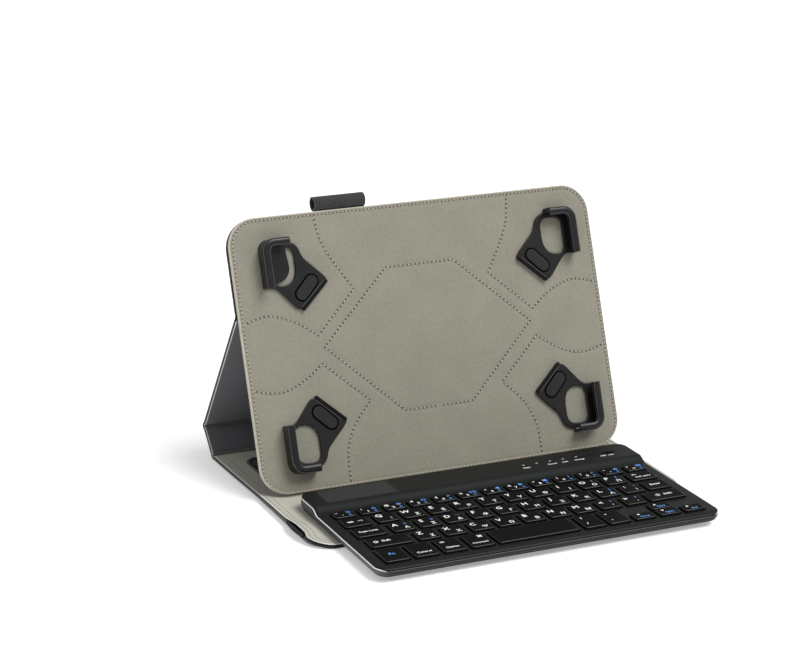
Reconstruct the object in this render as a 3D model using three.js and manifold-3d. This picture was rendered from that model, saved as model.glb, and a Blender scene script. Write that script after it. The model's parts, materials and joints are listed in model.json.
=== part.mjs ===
// Folio case for a tablet, standing open, with a slim wireless keyboard on its front cover.
// Millimetres, +Z up. The origin is the centre of the front cover's underside, the viewer is at -Y,
// and +Y runs back to the spine. The cover is a chain of flat panels joined by leather hinges:
// front cover, spine, kick panel, and the upper cover that carries the tablet panel.
import * as THREE from 'three';
import { mergeVertices } from 'three/addons/utils/BufferGeometryUtils.js';
import Module from 'manifold-3d';

const wasm = await Module();
wasm.setup();

// ---------------------------------------------------------------- driving dimensions
const COVER_WIDTH = 262; // along the spine
const FRONT_COVER_DEPTH = 183;
const FRONT_CORNER_RADIUS = 16;
const TABLE_HINGE_Y = 96;
const SPINE_WIDTH = 25;
const KICK_LENGTH = 118;
const PANEL_WIDTH = 261;
const PANEL_HEIGHT = 179.8;
const PANEL_BELOW_CREASE = 117.8; // tablet panel's foot to the crease behind it
const PANEL_CORNER_RADIUS = 19;

const SPINE_ANGLE = 45.3; // degrees above the table, standing open
const KICK_ANGLE = 125.85;
const PANEL_ANGLE = 69.75;

// Each cover panel is a laminate. Heights are from its skin's middle, where the hinge line is.
const HINGE_HEIGHT = 0.4; // above the table
const SKIN = [-0.4, 0.4];
const BOARD = [0.6, 1.8];
const LINING = [2.0, 2.6];
const RIM_WIDTH = 1.0; // the skin's turned edge round the board
const LAYER_GAP = 0.2;
const LINING_INSET = 0.4;

// Tablet panel, in front of the upper cover.
const UPPER_BOARD = [0.6, 2.6];
const PANEL_BACKING = [2.9, 3.3];
const PANEL_BOARD = [3.5, 5.1];
const PANEL_FACING = [5.3, 5.9];

// Keyboard, lying on the front cover.
const KEYBOARD_WIDTH = 235.5;
const KEYBOARD_OFFSET = 2.75; // its middle, to the right of the case's middle
const KEYBOARD_REAR = -19;
const KEYBOARD_FRONT = -150.5;
const KEYBOARD_BOTTOM = 4.0;
const PARTING_HEIGHT = 5.9; // between the bottom tray and the top case
const DECK_HEIGHT = 9.8;
const BULGE_HEIGHT = 13.5; // the thick rear strip that holds the battery
const CASE_WALL = 1.2;
const KEY_TOP = 11.3;
const KEY_FOOT = [7.5, 8.1]; // the flange or web under the deck
const KEY_TAPER = 0.7;
const KEY_CLEARANCE = 0.35;

const BOOLEAN_MARGIN = 1; // how far a cutter runs past the face it cuts

const radians = (degrees) => (degrees * Math.PI) / 180;

// ---------------------------------------------------------------- materials
function finish(colour, roughness, metalness = 0) {
  return new THREE.MeshStandardMaterial({ color: colour, roughness, metalness });
}
const blackLeather = finish(0x141416, 0.5);
const greyBoard = finish(0x6e6a62, 0.9);
const darkLining = finish(0x3c3c40, 0.7);
const lightLining = finish(0xc9c4b8, 0.85);
const microfibre = finish(0x97917f, 0.95);
const backingCloth = finish(0x2a2a2c, 0.9);
const elasticWeb = finish(0x1c1c1e, 0.9);
const clipPlastic = finish(0x232325, 0.4);
const clipRubber = finish(0x2b2b2d, 0.75);
const dockPlastic = finish(0x1d1d20, 0.5);
const magnetSteel = finish(0xb8b8ba, 0.3, 1);
const casePlastic = finish(0x1a1a1b, 0.45);
const keyPlastic = finish(0x19191a, 0.55);
const circuitGreen = finish(0x1d4a2c, 0.5);
const cellFoil = finish(0xa9abad, 0.35, 0.8);
const domeFilm = finish(0xd8d8d2, 0.4);
const portSteel = finish(0x9a9b9d, 0.3, 1);
const lensClear = finish(0xe6eef2, 0.2);

// ---------------------------------------------------------------- solids
function solidOf(geometry) {
  const bare = geometry.clone();
  bare.deleteAttribute('normal');
  bare.deleteAttribute('uv');
  const merged = mergeVertices(bare, 1e-4);
  return new wasm.Manifold(new wasm.Mesh({
    numProp: 3,
    vertProperties: merged.attributes.position.array,
    triVerts: new Uint32Array(merged.index.array),
  }));
}

function geometryOf(solid) {
  const mesh = solid.getMesh();
  const geometry = new THREE.BufferGeometry();
  geometry.setAttribute('position', new THREE.BufferAttribute(mesh.vertProperties, 3));
  geometry.setIndex(new THREE.BufferAttribute(mesh.triVerts, 1));
  geometry.computeVertexNormals();
  return geometry;
}

function part(name, shape, material) {
  const geometry = shape.isBufferGeometry ? shape : geometryOf(shape);
  const mesh = new THREE.Mesh(geometry, material);
  mesh.name = name;
  return mesh;
}

// A flat slab of a 2-D shape between two heights.
function slab(shape, [bottom, top], curveSegments = 8) {
  const options = { depth: top - bottom, bevelEnabled: false, curveSegments };
  return new THREE.ExtrudeGeometry(shape, options).translate(0, 0, bottom);
}

// A rectangle whose front and rear corners have radii of their own.
function outline({ left, right, front, rear, frontRadius = 0, rearRadius = 0 }) {
  const shape = new THREE.Shape();
  const quarter = Math.PI / 2;
  const corner = (x, y, radius, start) => {
    if (radius > 0) shape.absarc(x, y, radius, start, start + quarter, false);
    else shape.lineTo(x, y);
  };
  shape.moveTo(left + frontRadius, front);
  shape.lineTo(right - frontRadius, front);
  corner(right - frontRadius, front + frontRadius, frontRadius, -quarter);
  shape.lineTo(right, rear - rearRadius);
  corner(right - rearRadius, rear - rearRadius, rearRadius, 0);
  shape.lineTo(left + rearRadius, rear);
  corner(left + rearRadius, rear - rearRadius, rearRadius, quarter);
  shape.lineTo(left, front + frontRadius);
  corner(left + frontRadius, front + frontRadius, frontRadius, 2 * quarter);
  return shape;
}

// The same rectangle, smaller by an inset on its free sides.
function inset(edges, amount) {
  return {
    left: edges.left + amount,
    right: edges.right - amount,
    front: edges.front + amount,
    rear: edges.rear - amount,
    frontRadius: Math.max((edges.frontRadius ?? 0) - amount, 0),
    rearRadius: Math.max((edges.rearRadius ?? 0) - amount, 0),
  };
}

function box(x, y, z) {
  const geometry = new THREE.BoxGeometry(x[1] - x[0], y[1] - y[0], z[1] - z[0]);
  return geometry.translate((x[0] + x[1]) / 2, (y[0] + y[1]) / 2, (z[0] + z[1]) / 2);
}

function disc(radius, x, y, [bottom, top], segments = 20) {
  const geometry = new THREE.CylinderGeometry(radius, radius, top - bottom, segments);
  return geometry.rotateX(Math.PI / 2).translate(x, y, (bottom + top) / 2);
}

function union(geometries) {
  return geometries.map(solidOf).reduce((sum, next) => sum.add(next));
}

function cutFrom(geometry, cutters) {
  return cutters.reduce((left, cutter) => left.subtract(solidOf(cutter)), solidOf(geometry));
}

// ---------------------------------------------------------------- cover laminate
// How far a layer stops short of a hinge, so that two panels can fold by that angle.
function setback(height, foldDegrees) {
  return height * Math.tan(radians(foldDegrees) / 2) + LAYER_GAP;
}

const FOLD_AT_TABLE = SPINE_ANGLE;
const FOLD_AT_SPINE = KICK_ANGLE - SPINE_ANGLE;
const FOLD_AT_CREASE = KICK_ANGLE - PANEL_ANGLE;

// A skin with its left and right edges, and any free end, turned up round the board.
function turnedSkin(edges, rimTop, openFront, openRear) {
  const hollow = inset(edges, RIM_WIDTH);
  if (openFront) hollow.front = edges.front - BOOLEAN_MARGIN;
  if (openRear) hollow.rear = edges.rear + BOOLEAN_MARGIN;
  const cutter = slab(outline(hollow), [SKIN[1], rimTop + BOOLEAN_MARGIN]);
  return cutFrom(slab(outline(edges), [SKIN[0], rimTop]), [cutter]);
}

// Edges of one layer of a cover panel that runs from its front hinge to its rear one.
function layerEdges(panel, top, sideInset) {
  const frontGap = panel.frontFold ? setback(top, panel.frontFold) : sideInset;
  const rearGap = panel.rearFold ? setback(top, panel.rearFold) : sideInset;
  const shrink = (radius) => Math.max((radius ?? 0) - sideInset, 0);
  return {
    left: -COVER_WIDTH / 2 + sideInset,
    right: COVER_WIDTH / 2 - sideInset,
    front: panel.front + frontGap,
    rear: panel.rear - rearGap,
    frontRadius: shrink(panel.frontRadius),
    rearRadius: shrink(panel.rearRadius),
  };
}

const boardInset = RIM_WIDTH + LAYER_GAP;

const frontCoverPanel = {
  front: -FRONT_COVER_DEPTH,
  rear: 0,
  rearFold: FOLD_AT_TABLE,
  frontRadius: FRONT_CORNER_RADIUS,
};
const spinePanel = { front: 0, rear: SPINE_WIDTH, frontFold: FOLD_AT_TABLE, rearFold: FOLD_AT_SPINE };
// The crease folds the skins together, so only the skin's outer half needs room there.
const creaseGap = setback(-SKIN[0], FOLD_AT_CREASE);

// ---------------------------------------------------------------- front cover
function frontCover() {
  const group = new THREE.Group();
  const y = (partY) => partY - TABLE_HINGE_Y; // this group starts at the hinge
  group.position.set(0, TABLE_HINGE_Y, HINGE_HEIGHT);

  const skin = turnedSkin(layerEdges(frontCoverPanel, BOARD[1], 0), BOARD[1], false, true);
  group.add(part('front_cover_skin', skin, blackLeather));

  const magnetRadius = 5;
  const magnetClearance = 0.3;
  const magnetSeats = [['dock_magnet_left', -92], ['dock_magnet_right', 92]];
  const magnetRow = y(-40);
  const board = slab(outline(layerEdges(frontCoverPanel, BOARD[1], boardInset)), BOARD);
  const throughBoard = [BOARD[0] - BOOLEAN_MARGIN, BOARD[1] + BOOLEAN_MARGIN];
  const seats = magnetSeats.map(([, x]) => (
    disc(magnetRadius + magnetClearance, x, magnetRow, throughBoard)));
  group.add(part('front_cover_board', cutFrom(board, seats), greyBoard));
  for (const [name, x] of magnetSeats) {
    const magnet = disc(magnetRadius, x, magnetRow, [BOARD[0] + 0.1, BOARD[1] - 0.1]);
    group.add(part(name, magnet, magnetSteel));
  }

  const lining = slab(outline(layerEdges(frontCoverPanel, LINING[1], LINING_INSET)), LINING);
  group.add(part('front_cover_lining', lining, lightLining));

  // Thin moulded pad where the keyboard is stowed, with a raised border.
  const padEdges = { left: -116, right: 116, front: y(4), rear: y(78), frontRadius: 10, rearRadius: 10 };
  const padHeights = [LINING[1] + LAYER_GAP, LINING[1] + LAYER_GAP + 0.5];
  const padRecess = slab(outline(inset(padEdges, 2.5)), [padHeights[1] - 0.2, padHeights[1] + 1]);
  const pad = cutFrom(slab(outline(padEdges), padHeights), [padRecess]);
  group.add(part('dock_pad', pad, dockPlastic));

  // Short woven tab stitched round the left edge.
  const tab = new THREE.Shape();
  const edge = -COVER_WIDTH / 2 - 0.3;
  tab.moveTo(edge, y(-43));
  tab.bezierCurveTo(edge - 2.6, y(-46), edge - 2.6, y(-68), edge, y(-71));
  group.add(part('edge_tab', slab(tab, [SKIN[0] + 0.3, LINING[1] - 0.1]), elasticWeb));
  return group;
}

// ---------------------------------------------------------------- spine and kick panel
function spine() {
  const group = new THREE.Group();
  const skin = turnedSkin(layerEdges(spinePanel, BOARD[1], 0), BOARD[1], true, true);
  group.add(part('spine_skin', skin, blackLeather));
  const board = slab(outline(layerEdges(spinePanel, BOARD[1], boardInset)), BOARD);
  group.add(part('spine_board', board, greyBoard));
  const lining = slab(outline(layerEdges(spinePanel, LINING[1], LINING_INSET)), LINING);
  group.add(part('spine_lining', lining, darkLining));
  return group;
}

function kickPanel() {
  const group = new THREE.Group();
  const layer = (top, sideInset) => ({
    ...layerEdges({ front: 0, rear: KICK_LENGTH, frontFold: FOLD_AT_SPINE }, top, sideInset),
    rear: KICK_LENGTH - creaseGap,
  });
  const skin = turnedSkin(layer(BOARD[1], 0), BOARD[1], true, true);
  group.add(part('kick_panel_skin', skin, blackLeather));
  group.add(part('kick_panel_board', slab(outline(layer(BOARD[1], boardInset)), BOARD), greyBoard));
  group.add(part('kick_panel_lining', slab(outline(layer(LINING[1], LINING_INSET)), LINING), darkLining));
  return group;
}

// ---------------------------------------------------------------- tablet panel
const PANEL_TOP = PANEL_HEIGHT - PANEL_BELOW_CREASE;
const FIELD_MIDDLE = -26.8; // up from the crease

const panelEdges = {
  left: -PANEL_WIDTH / 2,
  right: PANEL_WIDTH / 2,
  front: -PANEL_BELOW_CREASE,
  rear: PANEL_TOP,
  frontRadius: PANEL_CORNER_RADIUS,
  rearRadius: PANEL_CORNER_RADIUS,
};

// Hexagonal field in the facing's middle that the tablet's back lies on, inside a stitch groove.
const FIELD = { reach: 75, topHalfWidth: 24.6, halfHeight: 47.6 };
const STITCH_GROOVE = { width: 1.2, depth: 0.25 };

// The field's outline, moved outwards by an amount.
function fieldOutline(outwards) {
  const { reach, topHalfWidth, halfHeight } = FIELD;
  const slant = new THREE.Vector2(halfHeight, reach - topHalfWidth).normalize();
  const distance = slant.x * reach + outwards;
  const top = halfHeight + outwards;
  const end = distance / slant.x;
  const corner = (distance - slant.y * top) / slant.x;
  const shape = new THREE.Shape();
  shape.moveTo(end, FIELD_MIDDLE);
  shape.lineTo(corner, FIELD_MIDDLE + top);
  shape.lineTo(-corner, FIELD_MIDDLE + top);
  shape.lineTo(-end, FIELD_MIDDLE);
  shape.lineTo(-corner, FIELD_MIDDLE - top);
  shape.lineTo(corner, FIELD_MIDDLE - top);
  return shape;
}

// Corner clips are laid out from the middle of the four, for the corner at +X and +Y.
const CLIPS_MIDDLE = { x: 1.8, y: FIELD_MIDDLE - 2.7 };
const CLIP_TRAVEL = 11; // outwards along the corner's diagonal
const CLIP_POST = { x: 81.5, y: 39.5, radius: 2.4, clearance: 0.4 };
const CLIP_PAD = { x: 84, y: 42.5, halfLength: 5.5, radius: 4 };
const ELASTIC_HALF_WIDTH = 5;
const ELASTIC_INWARD = 34;
const ELASTIC_OUTWARD = 4;
const CHANNEL_CLEARANCE = 0.6;
const CLIP_PLATE = [6.2, 8.0];
const CLIP_WALL_TOP = 16.8;
const CLIP_LIP_THICKNESS = 1.6;
const corners = [
  ['top_left', -1, 1],
  ['top_right', 1, 1],
  ['bottom_left', -1, -1],
  ['bottom_right', 1, -1],
];

// A strip along a corner's diagonal, from inward to outward of the clip's post.
function diagonalStrip(sideX, sideY, halfWidth, inward, outward) {
  const shape = new THREE.Shape();
  const along = Math.SQRT1_2;
  const point = (distance, across) => [
    CLIPS_MIDDLE.x + sideX * (CLIP_POST.x + (distance - across) * along),
    CLIPS_MIDDLE.y + sideY * (CLIP_POST.y + (distance + across) * along),
  ];
  shape.moveTo(...point(-inward, -halfWidth));
  shape.lineTo(...point(outward, -halfWidth));
  shape.lineTo(...point(outward, halfWidth));
  shape.lineTo(...point(-inward, halfWidth));
  return shape;
}

function tabletPanel() {
  const group = new THREE.Group();
  const upper = {
    left: -COVER_WIDTH / 2,
    right: COVER_WIDTH / 2,
    front: creaseGap,
    rear: PANEL_TOP,
    rearRadius: PANEL_CORNER_RADIUS + 1,
  };
  group.add(part('upper_cover_skin', turnedSkin(upper, UPPER_BOARD[1], true, false), blackLeather));
  const upperBoard = { ...inset(upper, boardInset), front: creaseGap };
  group.add(part('upper_cover_board', slab(outline(upperBoard), UPPER_BOARD), greyBoard));

  // Facing cloth turned back round the panel's edges.
  const facingHollow = slab(
    outline(inset(panelEdges, RIM_WIDTH)),
    [PANEL_BACKING[0] - BOOLEAN_MARGIN, PANEL_FACING[0]],
  );
  const throughFacing = [PANEL_FACING[0] - BOOLEAN_MARGIN, PANEL_FACING[1] + BOOLEAN_MARGIN];
  const throughBoard = [PANEL_BOARD[0] - BOOLEAN_MARGIN, PANEL_BOARD[1] + BOOLEAN_MARGIN];
  const slits = [];
  const channels = [];
  for (const [, sideX, sideY] of corners) {
    const slitHalf = CLIP_POST.radius + CLIP_POST.clearance;
    const slit = diagonalStrip(sideX, sideY, slitHalf, slitHalf, CLIP_TRAVEL + slitHalf);
    slits.push(slab(slit, throughFacing));
    const channel = diagonalStrip(
      sideX,
      sideY,
      ELASTIC_HALF_WIDTH + CHANNEL_CLEARANCE,
      ELASTIC_INWARD + CHANNEL_CLEARANCE,
      ELASTIC_OUTWARD + CLIP_TRAVEL + CHANNEL_CLEARANCE,
    );
    channels.push(slab(channel, throughBoard));
  }
  const grooveHeights = [PANEL_FACING[1] - STITCH_GROOVE.depth, PANEL_FACING[1] + BOOLEAN_MARGIN];
  const grooveHalf = STITCH_GROOVE.width / 2;
  const groove = cutFrom(
    slab(fieldOutline(grooveHalf), grooveHeights),
    [slab(fieldOutline(-grooveHalf), [grooveHeights[0] - 1, grooveHeights[1] + 1])],
  );
  const facing = slab(outline(panelEdges), [PANEL_BACKING[0], PANEL_FACING[1]]);
  const openFacing = cutFrom(facing, [facingHollow, ...slits]).subtract(groove);
  group.add(part('panel_facing', openFacing, microfibre));
  const boardOutline = outline(inset(panelEdges, boardInset));
  group.add(part('panel_board', cutFrom(slab(boardOutline, PANEL_BOARD), channels), greyBoard));
  group.add(part('panel_backing', slab(boardOutline, PANEL_BACKING), backingCloth));
  group.add(penLoop());
  for (const [name, sideX, sideY] of corners) group.add(...cornerClip(name, sideX, sideY));
  return group;
}

// Woven elastic bent into a loop on the upper edge, open at both ends.
function penLoop() {
  const loopLeft = -68.3;
  const loopLength = 36;
  const outerHeight = 4.9; // half its size across the panel
  const outerReach = 4.8; // half its size up from the edge
  const webThickness = 0.9;
  const segments = 24;
  const middle = { y: PANEL_TOP + 0.3 + outerReach, z: 2.6 };
  const loop = new THREE.Shape();
  loop.absellipse(middle.y, middle.z, outerReach, outerHeight, 0, 2 * Math.PI, false);
  const bore = new THREE.Path();
  const inner = [outerReach - webThickness, outerHeight - webThickness];
  bore.absellipse(middle.y, middle.z, inner[0], inner[1], 0, 2 * Math.PI, true);
  loop.holes.push(bore);
  const tube = slab(loop, [loopLeft, loopLeft + loopLength], segments);
  return part('pen_loop', alongX(tube), elasticWeb);
}

// Turns a slab drawn in (Y, Z) and thickened upwards so that it is thickened along X.
function alongX(geometry) {
  const turn = new THREE.Matrix4().makeBasis(
    new THREE.Vector3(0, 1, 0),
    new THREE.Vector3(0, 0, 1),
    new THREE.Vector3(1, 0, 0),
  );
  return geometry.applyMatrix4(turn);
}

// ---------------------------------------------------------------- corner clips
// A flat plate with a ring opening, an L-shaped wall round the tablet's corner and a lip over it.
function cornerClip(name, sideX, sideY) {
  const at = (x, y) => [CLIPS_MIDDLE.x + sideX * x, CLIPS_MIDDLE.y + sideY * y];
  const draw = (points, ShapeClass = THREE.Shape) => {
    const path = new ShapeClass();
    points.forEach(([kind, ...numbers]) => {
      const pairs = [];
      for (let i = 0; i < numbers.length; i += 2) pairs.push(...at(numbers[i], numbers[i + 1]));
      path[kind](...pairs);
    });
    return path;
  };
  const wallOuter = { x: 113.5, y: 76.5, radius: 9 };
  const armEnd = { x: 94, y: 44.4 };

  const plate = draw([
    ['moveTo', 69, 46.5],
    ['lineTo', 88, 29],
    ['quadraticCurveTo', 91.5, 28.5, 94, 31.5],
    ['lineTo', 101.5, 40.5],
    ['quadraticCurveTo', 104, 43.5, 106.5, armEnd.y],
    ['lineTo', wallOuter.x, armEnd.y],
    ['lineTo', wallOuter.x, wallOuter.y - wallOuter.radius],
    ['quadraticCurveTo', wallOuter.x, wallOuter.y, wallOuter.x - wallOuter.radius, wallOuter.y],
    ['lineTo', armEnd.x, wallOuter.y],
    ['lineTo', armEnd.x, 74],
    ['quadraticCurveTo', 86.5, 73, 85, 65.5],
    ['quadraticCurveTo', 84, 62.5, 82, 60.5],
    ['lineTo', 71.5, 50],
  ]);
  const ring = draw([
    ['moveTo', 96, 70],
    ['quadraticCurveTo', 89.8, 70, 89.8, 63.5],
    ['lineTo', 89.8, 57],
    ['quadraticCurveTo', 90.2, 45.5, 100, 45.5],
    ['quadraticCurveTo', 105.7, 45.5, 105.7, 51.5],
    ['lineTo', 105.7, 63.5],
    ['quadraticCurveTo', 105.7, 70, 99.5, 70],
  ]);
  // Wall and lip follow the same L, to different widths.
  const corner = (width) => draw([
    ['moveTo', armEnd.x, wallOuter.y],
    ['lineTo', wallOuter.x - wallOuter.radius, wallOuter.y],
    ['quadraticCurveTo', wallOuter.x, wallOuter.y, wallOuter.x, wallOuter.y - wallOuter.radius],
    ['lineTo', wallOuter.x, armEnd.y],
    ['lineTo', wallOuter.x - width, armEnd.y],
    ['lineTo', wallOuter.x - width, wallOuter.y - wallOuter.radius],
    [
      'quadraticCurveTo', wallOuter.x - width, wallOuter.y - width,
      wallOuter.x - wallOuter.radius, wallOuter.y - width,
    ],
    ['lineTo', armEnd.x, wallOuter.y - width],
  ]);
  const wallThickness = 2;
  const lipReach = 5;
  const post = disc(CLIP_POST.radius, ...at(CLIP_POST.x, CLIP_POST.y), [5.0, CLIP_PLATE[0] + 0.5]);
  const body = union([
    slab(plate, CLIP_PLATE, 5),
    slab(corner(wallThickness), [CLIP_PLATE[0], CLIP_WALL_TOP], 5),
    slab(corner(lipReach), [CLIP_WALL_TOP - CLIP_LIP_THICKNESS, CLIP_WALL_TOP], 5),
    post,
  ]);
  const opening = [CLIP_PLATE[0] - BOOLEAN_MARGIN, CLIP_PLATE[1] + BOOLEAN_MARGIN];
  const clip = body.subtract(solidOf(slab(ring, opening, 5)));

  // Oval grip pad across the diagonal, between the ring and the inner edge.
  const pad = new THREE.Shape();
  const centre = new THREE.Vector2(...at(CLIP_PAD.x, CLIP_PAD.y));
  const across = new THREE.Vector2(sideX, -sideY).normalize();
  const turn = across.angle();
  const end = centre.clone().addScaledVector(across, CLIP_PAD.halfLength);
  const start = centre.clone().addScaledVector(across, -CLIP_PAD.halfLength);
  pad.absarc(end.x, end.y, CLIP_PAD.radius, turn - Math.PI / 2, turn + Math.PI / 2, false);
  pad.absarc(start.x, start.y, CLIP_PAD.radius, turn + Math.PI / 2, turn + 1.5 * Math.PI, false);
  const padHeights = [CLIP_PLATE[1] + LAYER_GAP, CLIP_PLATE[1] + 0.7];

  const elastic = diagonalStrip(sideX, sideY, ELASTIC_HALF_WIDTH, ELASTIC_INWARD, ELASTIC_OUTWARD);
  return [
    part(`clip_${name}`, clip, clipPlastic),
    part(`clip_pad_${name}`, slab(pad, padHeights, 6), clipRubber),
    part(`clip_elastic_${name}`, slab(elastic, [3.8, 4.6]), elasticWeb),
  ];
}

// ---------------------------------------------------------------- keyboard
const keyboardEdges = {
  left: KEYBOARD_OFFSET - KEYBOARD_WIDTH / 2,
  right: KEYBOARD_OFFSET + KEYBOARD_WIDTH / 2,
  front: KEYBOARD_FRONT,
  rear: KEYBOARD_REAR,
  frontRadius: 9,
  rearRadius: 9,
};

// Side profile of the top case: a thick rear bulge, a smooth step and the flat key deck.
function caseProfile(wall) {
  const rear = KEYBOARD_REAR - wall;
  const front = KEYBOARD_FRONT + wall;
  const deck = DECK_HEIGHT - wall;
  const bulge = BULGE_HEIGHT - wall;
  const bottom = wall > 0 ? PARTING_HEIGHT - BOOLEAN_MARGIN : PARTING_HEIGHT + 0.1;
  const round = 2;
  const shape = new THREE.Shape();
  shape.moveTo(front, bottom);
  shape.lineTo(rear, bottom);
  shape.lineTo(rear, bulge - round);
  shape.quadraticCurveTo(rear, bulge, rear - round, bulge);
  shape.lineTo(-45.5 + wall, bulge);
  shape.bezierCurveTo(-49.5 + wall, bulge, -49.5 + wall, deck, -53.5 + wall, deck);
  shape.lineTo(front + round, deck);
  shape.quadraticCurveTo(front, deck, front, deck - round);
  return shape;
}

function caseBody(wall) {
  const edges = inset(keyboardEdges, wall);
  const run = slab(caseProfile(wall), [edges.left, edges.right], 5);
  return solidOf(alongX(run)).intersect(solidOf(slab(outline(edges), [0, 20])));
}

// Every key: name, left-to-right middle, width, front-to-back middle and depth.
const ROWS = {
  number: { y: -61.2, depth: 10.6 },
  upper: { y: -76.2, depth: 14.2 },
  home: { y: -94.2, depth: 14.2 },
  lower: { y: -112.4, depth: 14.2 },
  bottom: { y: -133.3, depth: 20.4 },
};
const LETTER_WIDTH = 14.8;

function evenKeys(row, first, pitch, count, width) {
  return Array.from({ length: count }, (_, i) => ({ x: first + i * pitch, width, ...ROWS[row] }));
}
function singleKey(row, x, width) {
  return [{ x, width, ...ROWS[row] }];
}
const ARROW_DEPTH = 9.6;
const arrowFront = { y: -138.7, depth: ARROW_DEPTH };
const arrowRear = { y: -127.9, depth: ARROW_DEPTH };

const keyGroups = {
  number_row_keys: evenKeys('number', -100.4, 17.217, 13, 14.4),
  upper_letter_keys: evenKeys('upper', -78.4, 17.85, 10, LETTER_WIDTH),
  home_letter_keys: evenKeys('home', -75.8, 17.9, 10, LETTER_WIDTH),
  lower_letter_keys: evenKeys('lower', -67.1, 17.9, 9, LETTER_WIDTH),
  tab_key: singleKey('upper', -98.8, 17.8),
  backspace_key: singleKey('upper', 102.4, 18.8),
  caps_lock_key: singleKey('home', -97.3, 20),
  enter_key: singleKey('home', 103.3, 17),
  left_shift_key: singleKey('lower', -92, 28),
  right_shift_key: singleKey('lower', 98.8, 26),
  fn_key: singleKey('bottom', -99, 16.4),
  control_key: singleKey('bottom', -79.9, 16.6),
  option_key: singleKey('bottom', -61.2, 15.6),
  command_key: singleKey('bottom', -42.7, 15.6),
  space_key: singleKey('bottom', -4.8, 55.2),
  slash_key: singleKey('bottom', 34, 15),
  quote_key: singleKey('bottom', 50.9, 15),
  left_arrow_key: [{ x: 68.9, width: 15, ...arrowFront }],
  up_arrow_key: [{ x: 86.6, width: 15, ...arrowRear }],
  down_arrow_key: [{ x: 86.6, width: 15, ...arrowFront }],
  right_arrow_key: [{ x: 104.3, width: 15, ...arrowFront }],
};

function taperedCap({ x, width, y, depth }) {
  const geometry = new THREE.BoxGeometry(width, depth, KEY_TOP - KEY_FOOT[0]);
  const place = geometry.attributes.position;
  for (let i = 0; i < place.count; i += 1) {
    if (place.getZ(i) > 0) {
      place.setX(i, place.getX(i) - Math.sign(place.getX(i)) * KEY_TAPER);
      place.setY(i, place.getY(i) - Math.sign(place.getY(i)) * KEY_TAPER);
    }
  }
  return geometry.translate(x, y, (KEY_TOP + KEY_FOOT[0]) / 2);
}

// Caps on one web under the deck, which also keeps them from lifting out.
function keyGroup(keys) {
  const first = keys[0];
  const last = keys[keys.length - 1];
  const catchWidth = 0.8;
  const webHalfDepth = Math.min(first.depth / 2 - 1, 3);
  const web = box(
    [first.x - first.width / 2 - catchWidth, last.x + last.width / 2 + catchWidth],
    [first.y - webHalfDepth, first.y + webHalfDepth],
    KEY_FOOT,
  );
  return union([web, ...keys.map(taperedCap)]);
}

const POWER_SLOT = { x: [96, 105.4], y: [-36.4, -34] };
const INDICATORS = { first: 38.7, pitch: 9.7, count: 5, y: -34.2 };
const PORT = { x: 84, width: 8, z: [6.7, 9.5] };

function indicatorPegs(grow, heights) {
  return Array.from({ length: INDICATORS.count }, (_, i) => {
    const x = INDICATORS.first + i * INDICATORS.pitch;
    return box([x - 0.7 - grow, x + 0.7 + grow], [INDICATORS.y - 0.4 - grow, INDICATORS.y + 0.4 + grow], heights);
  });
}

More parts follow.
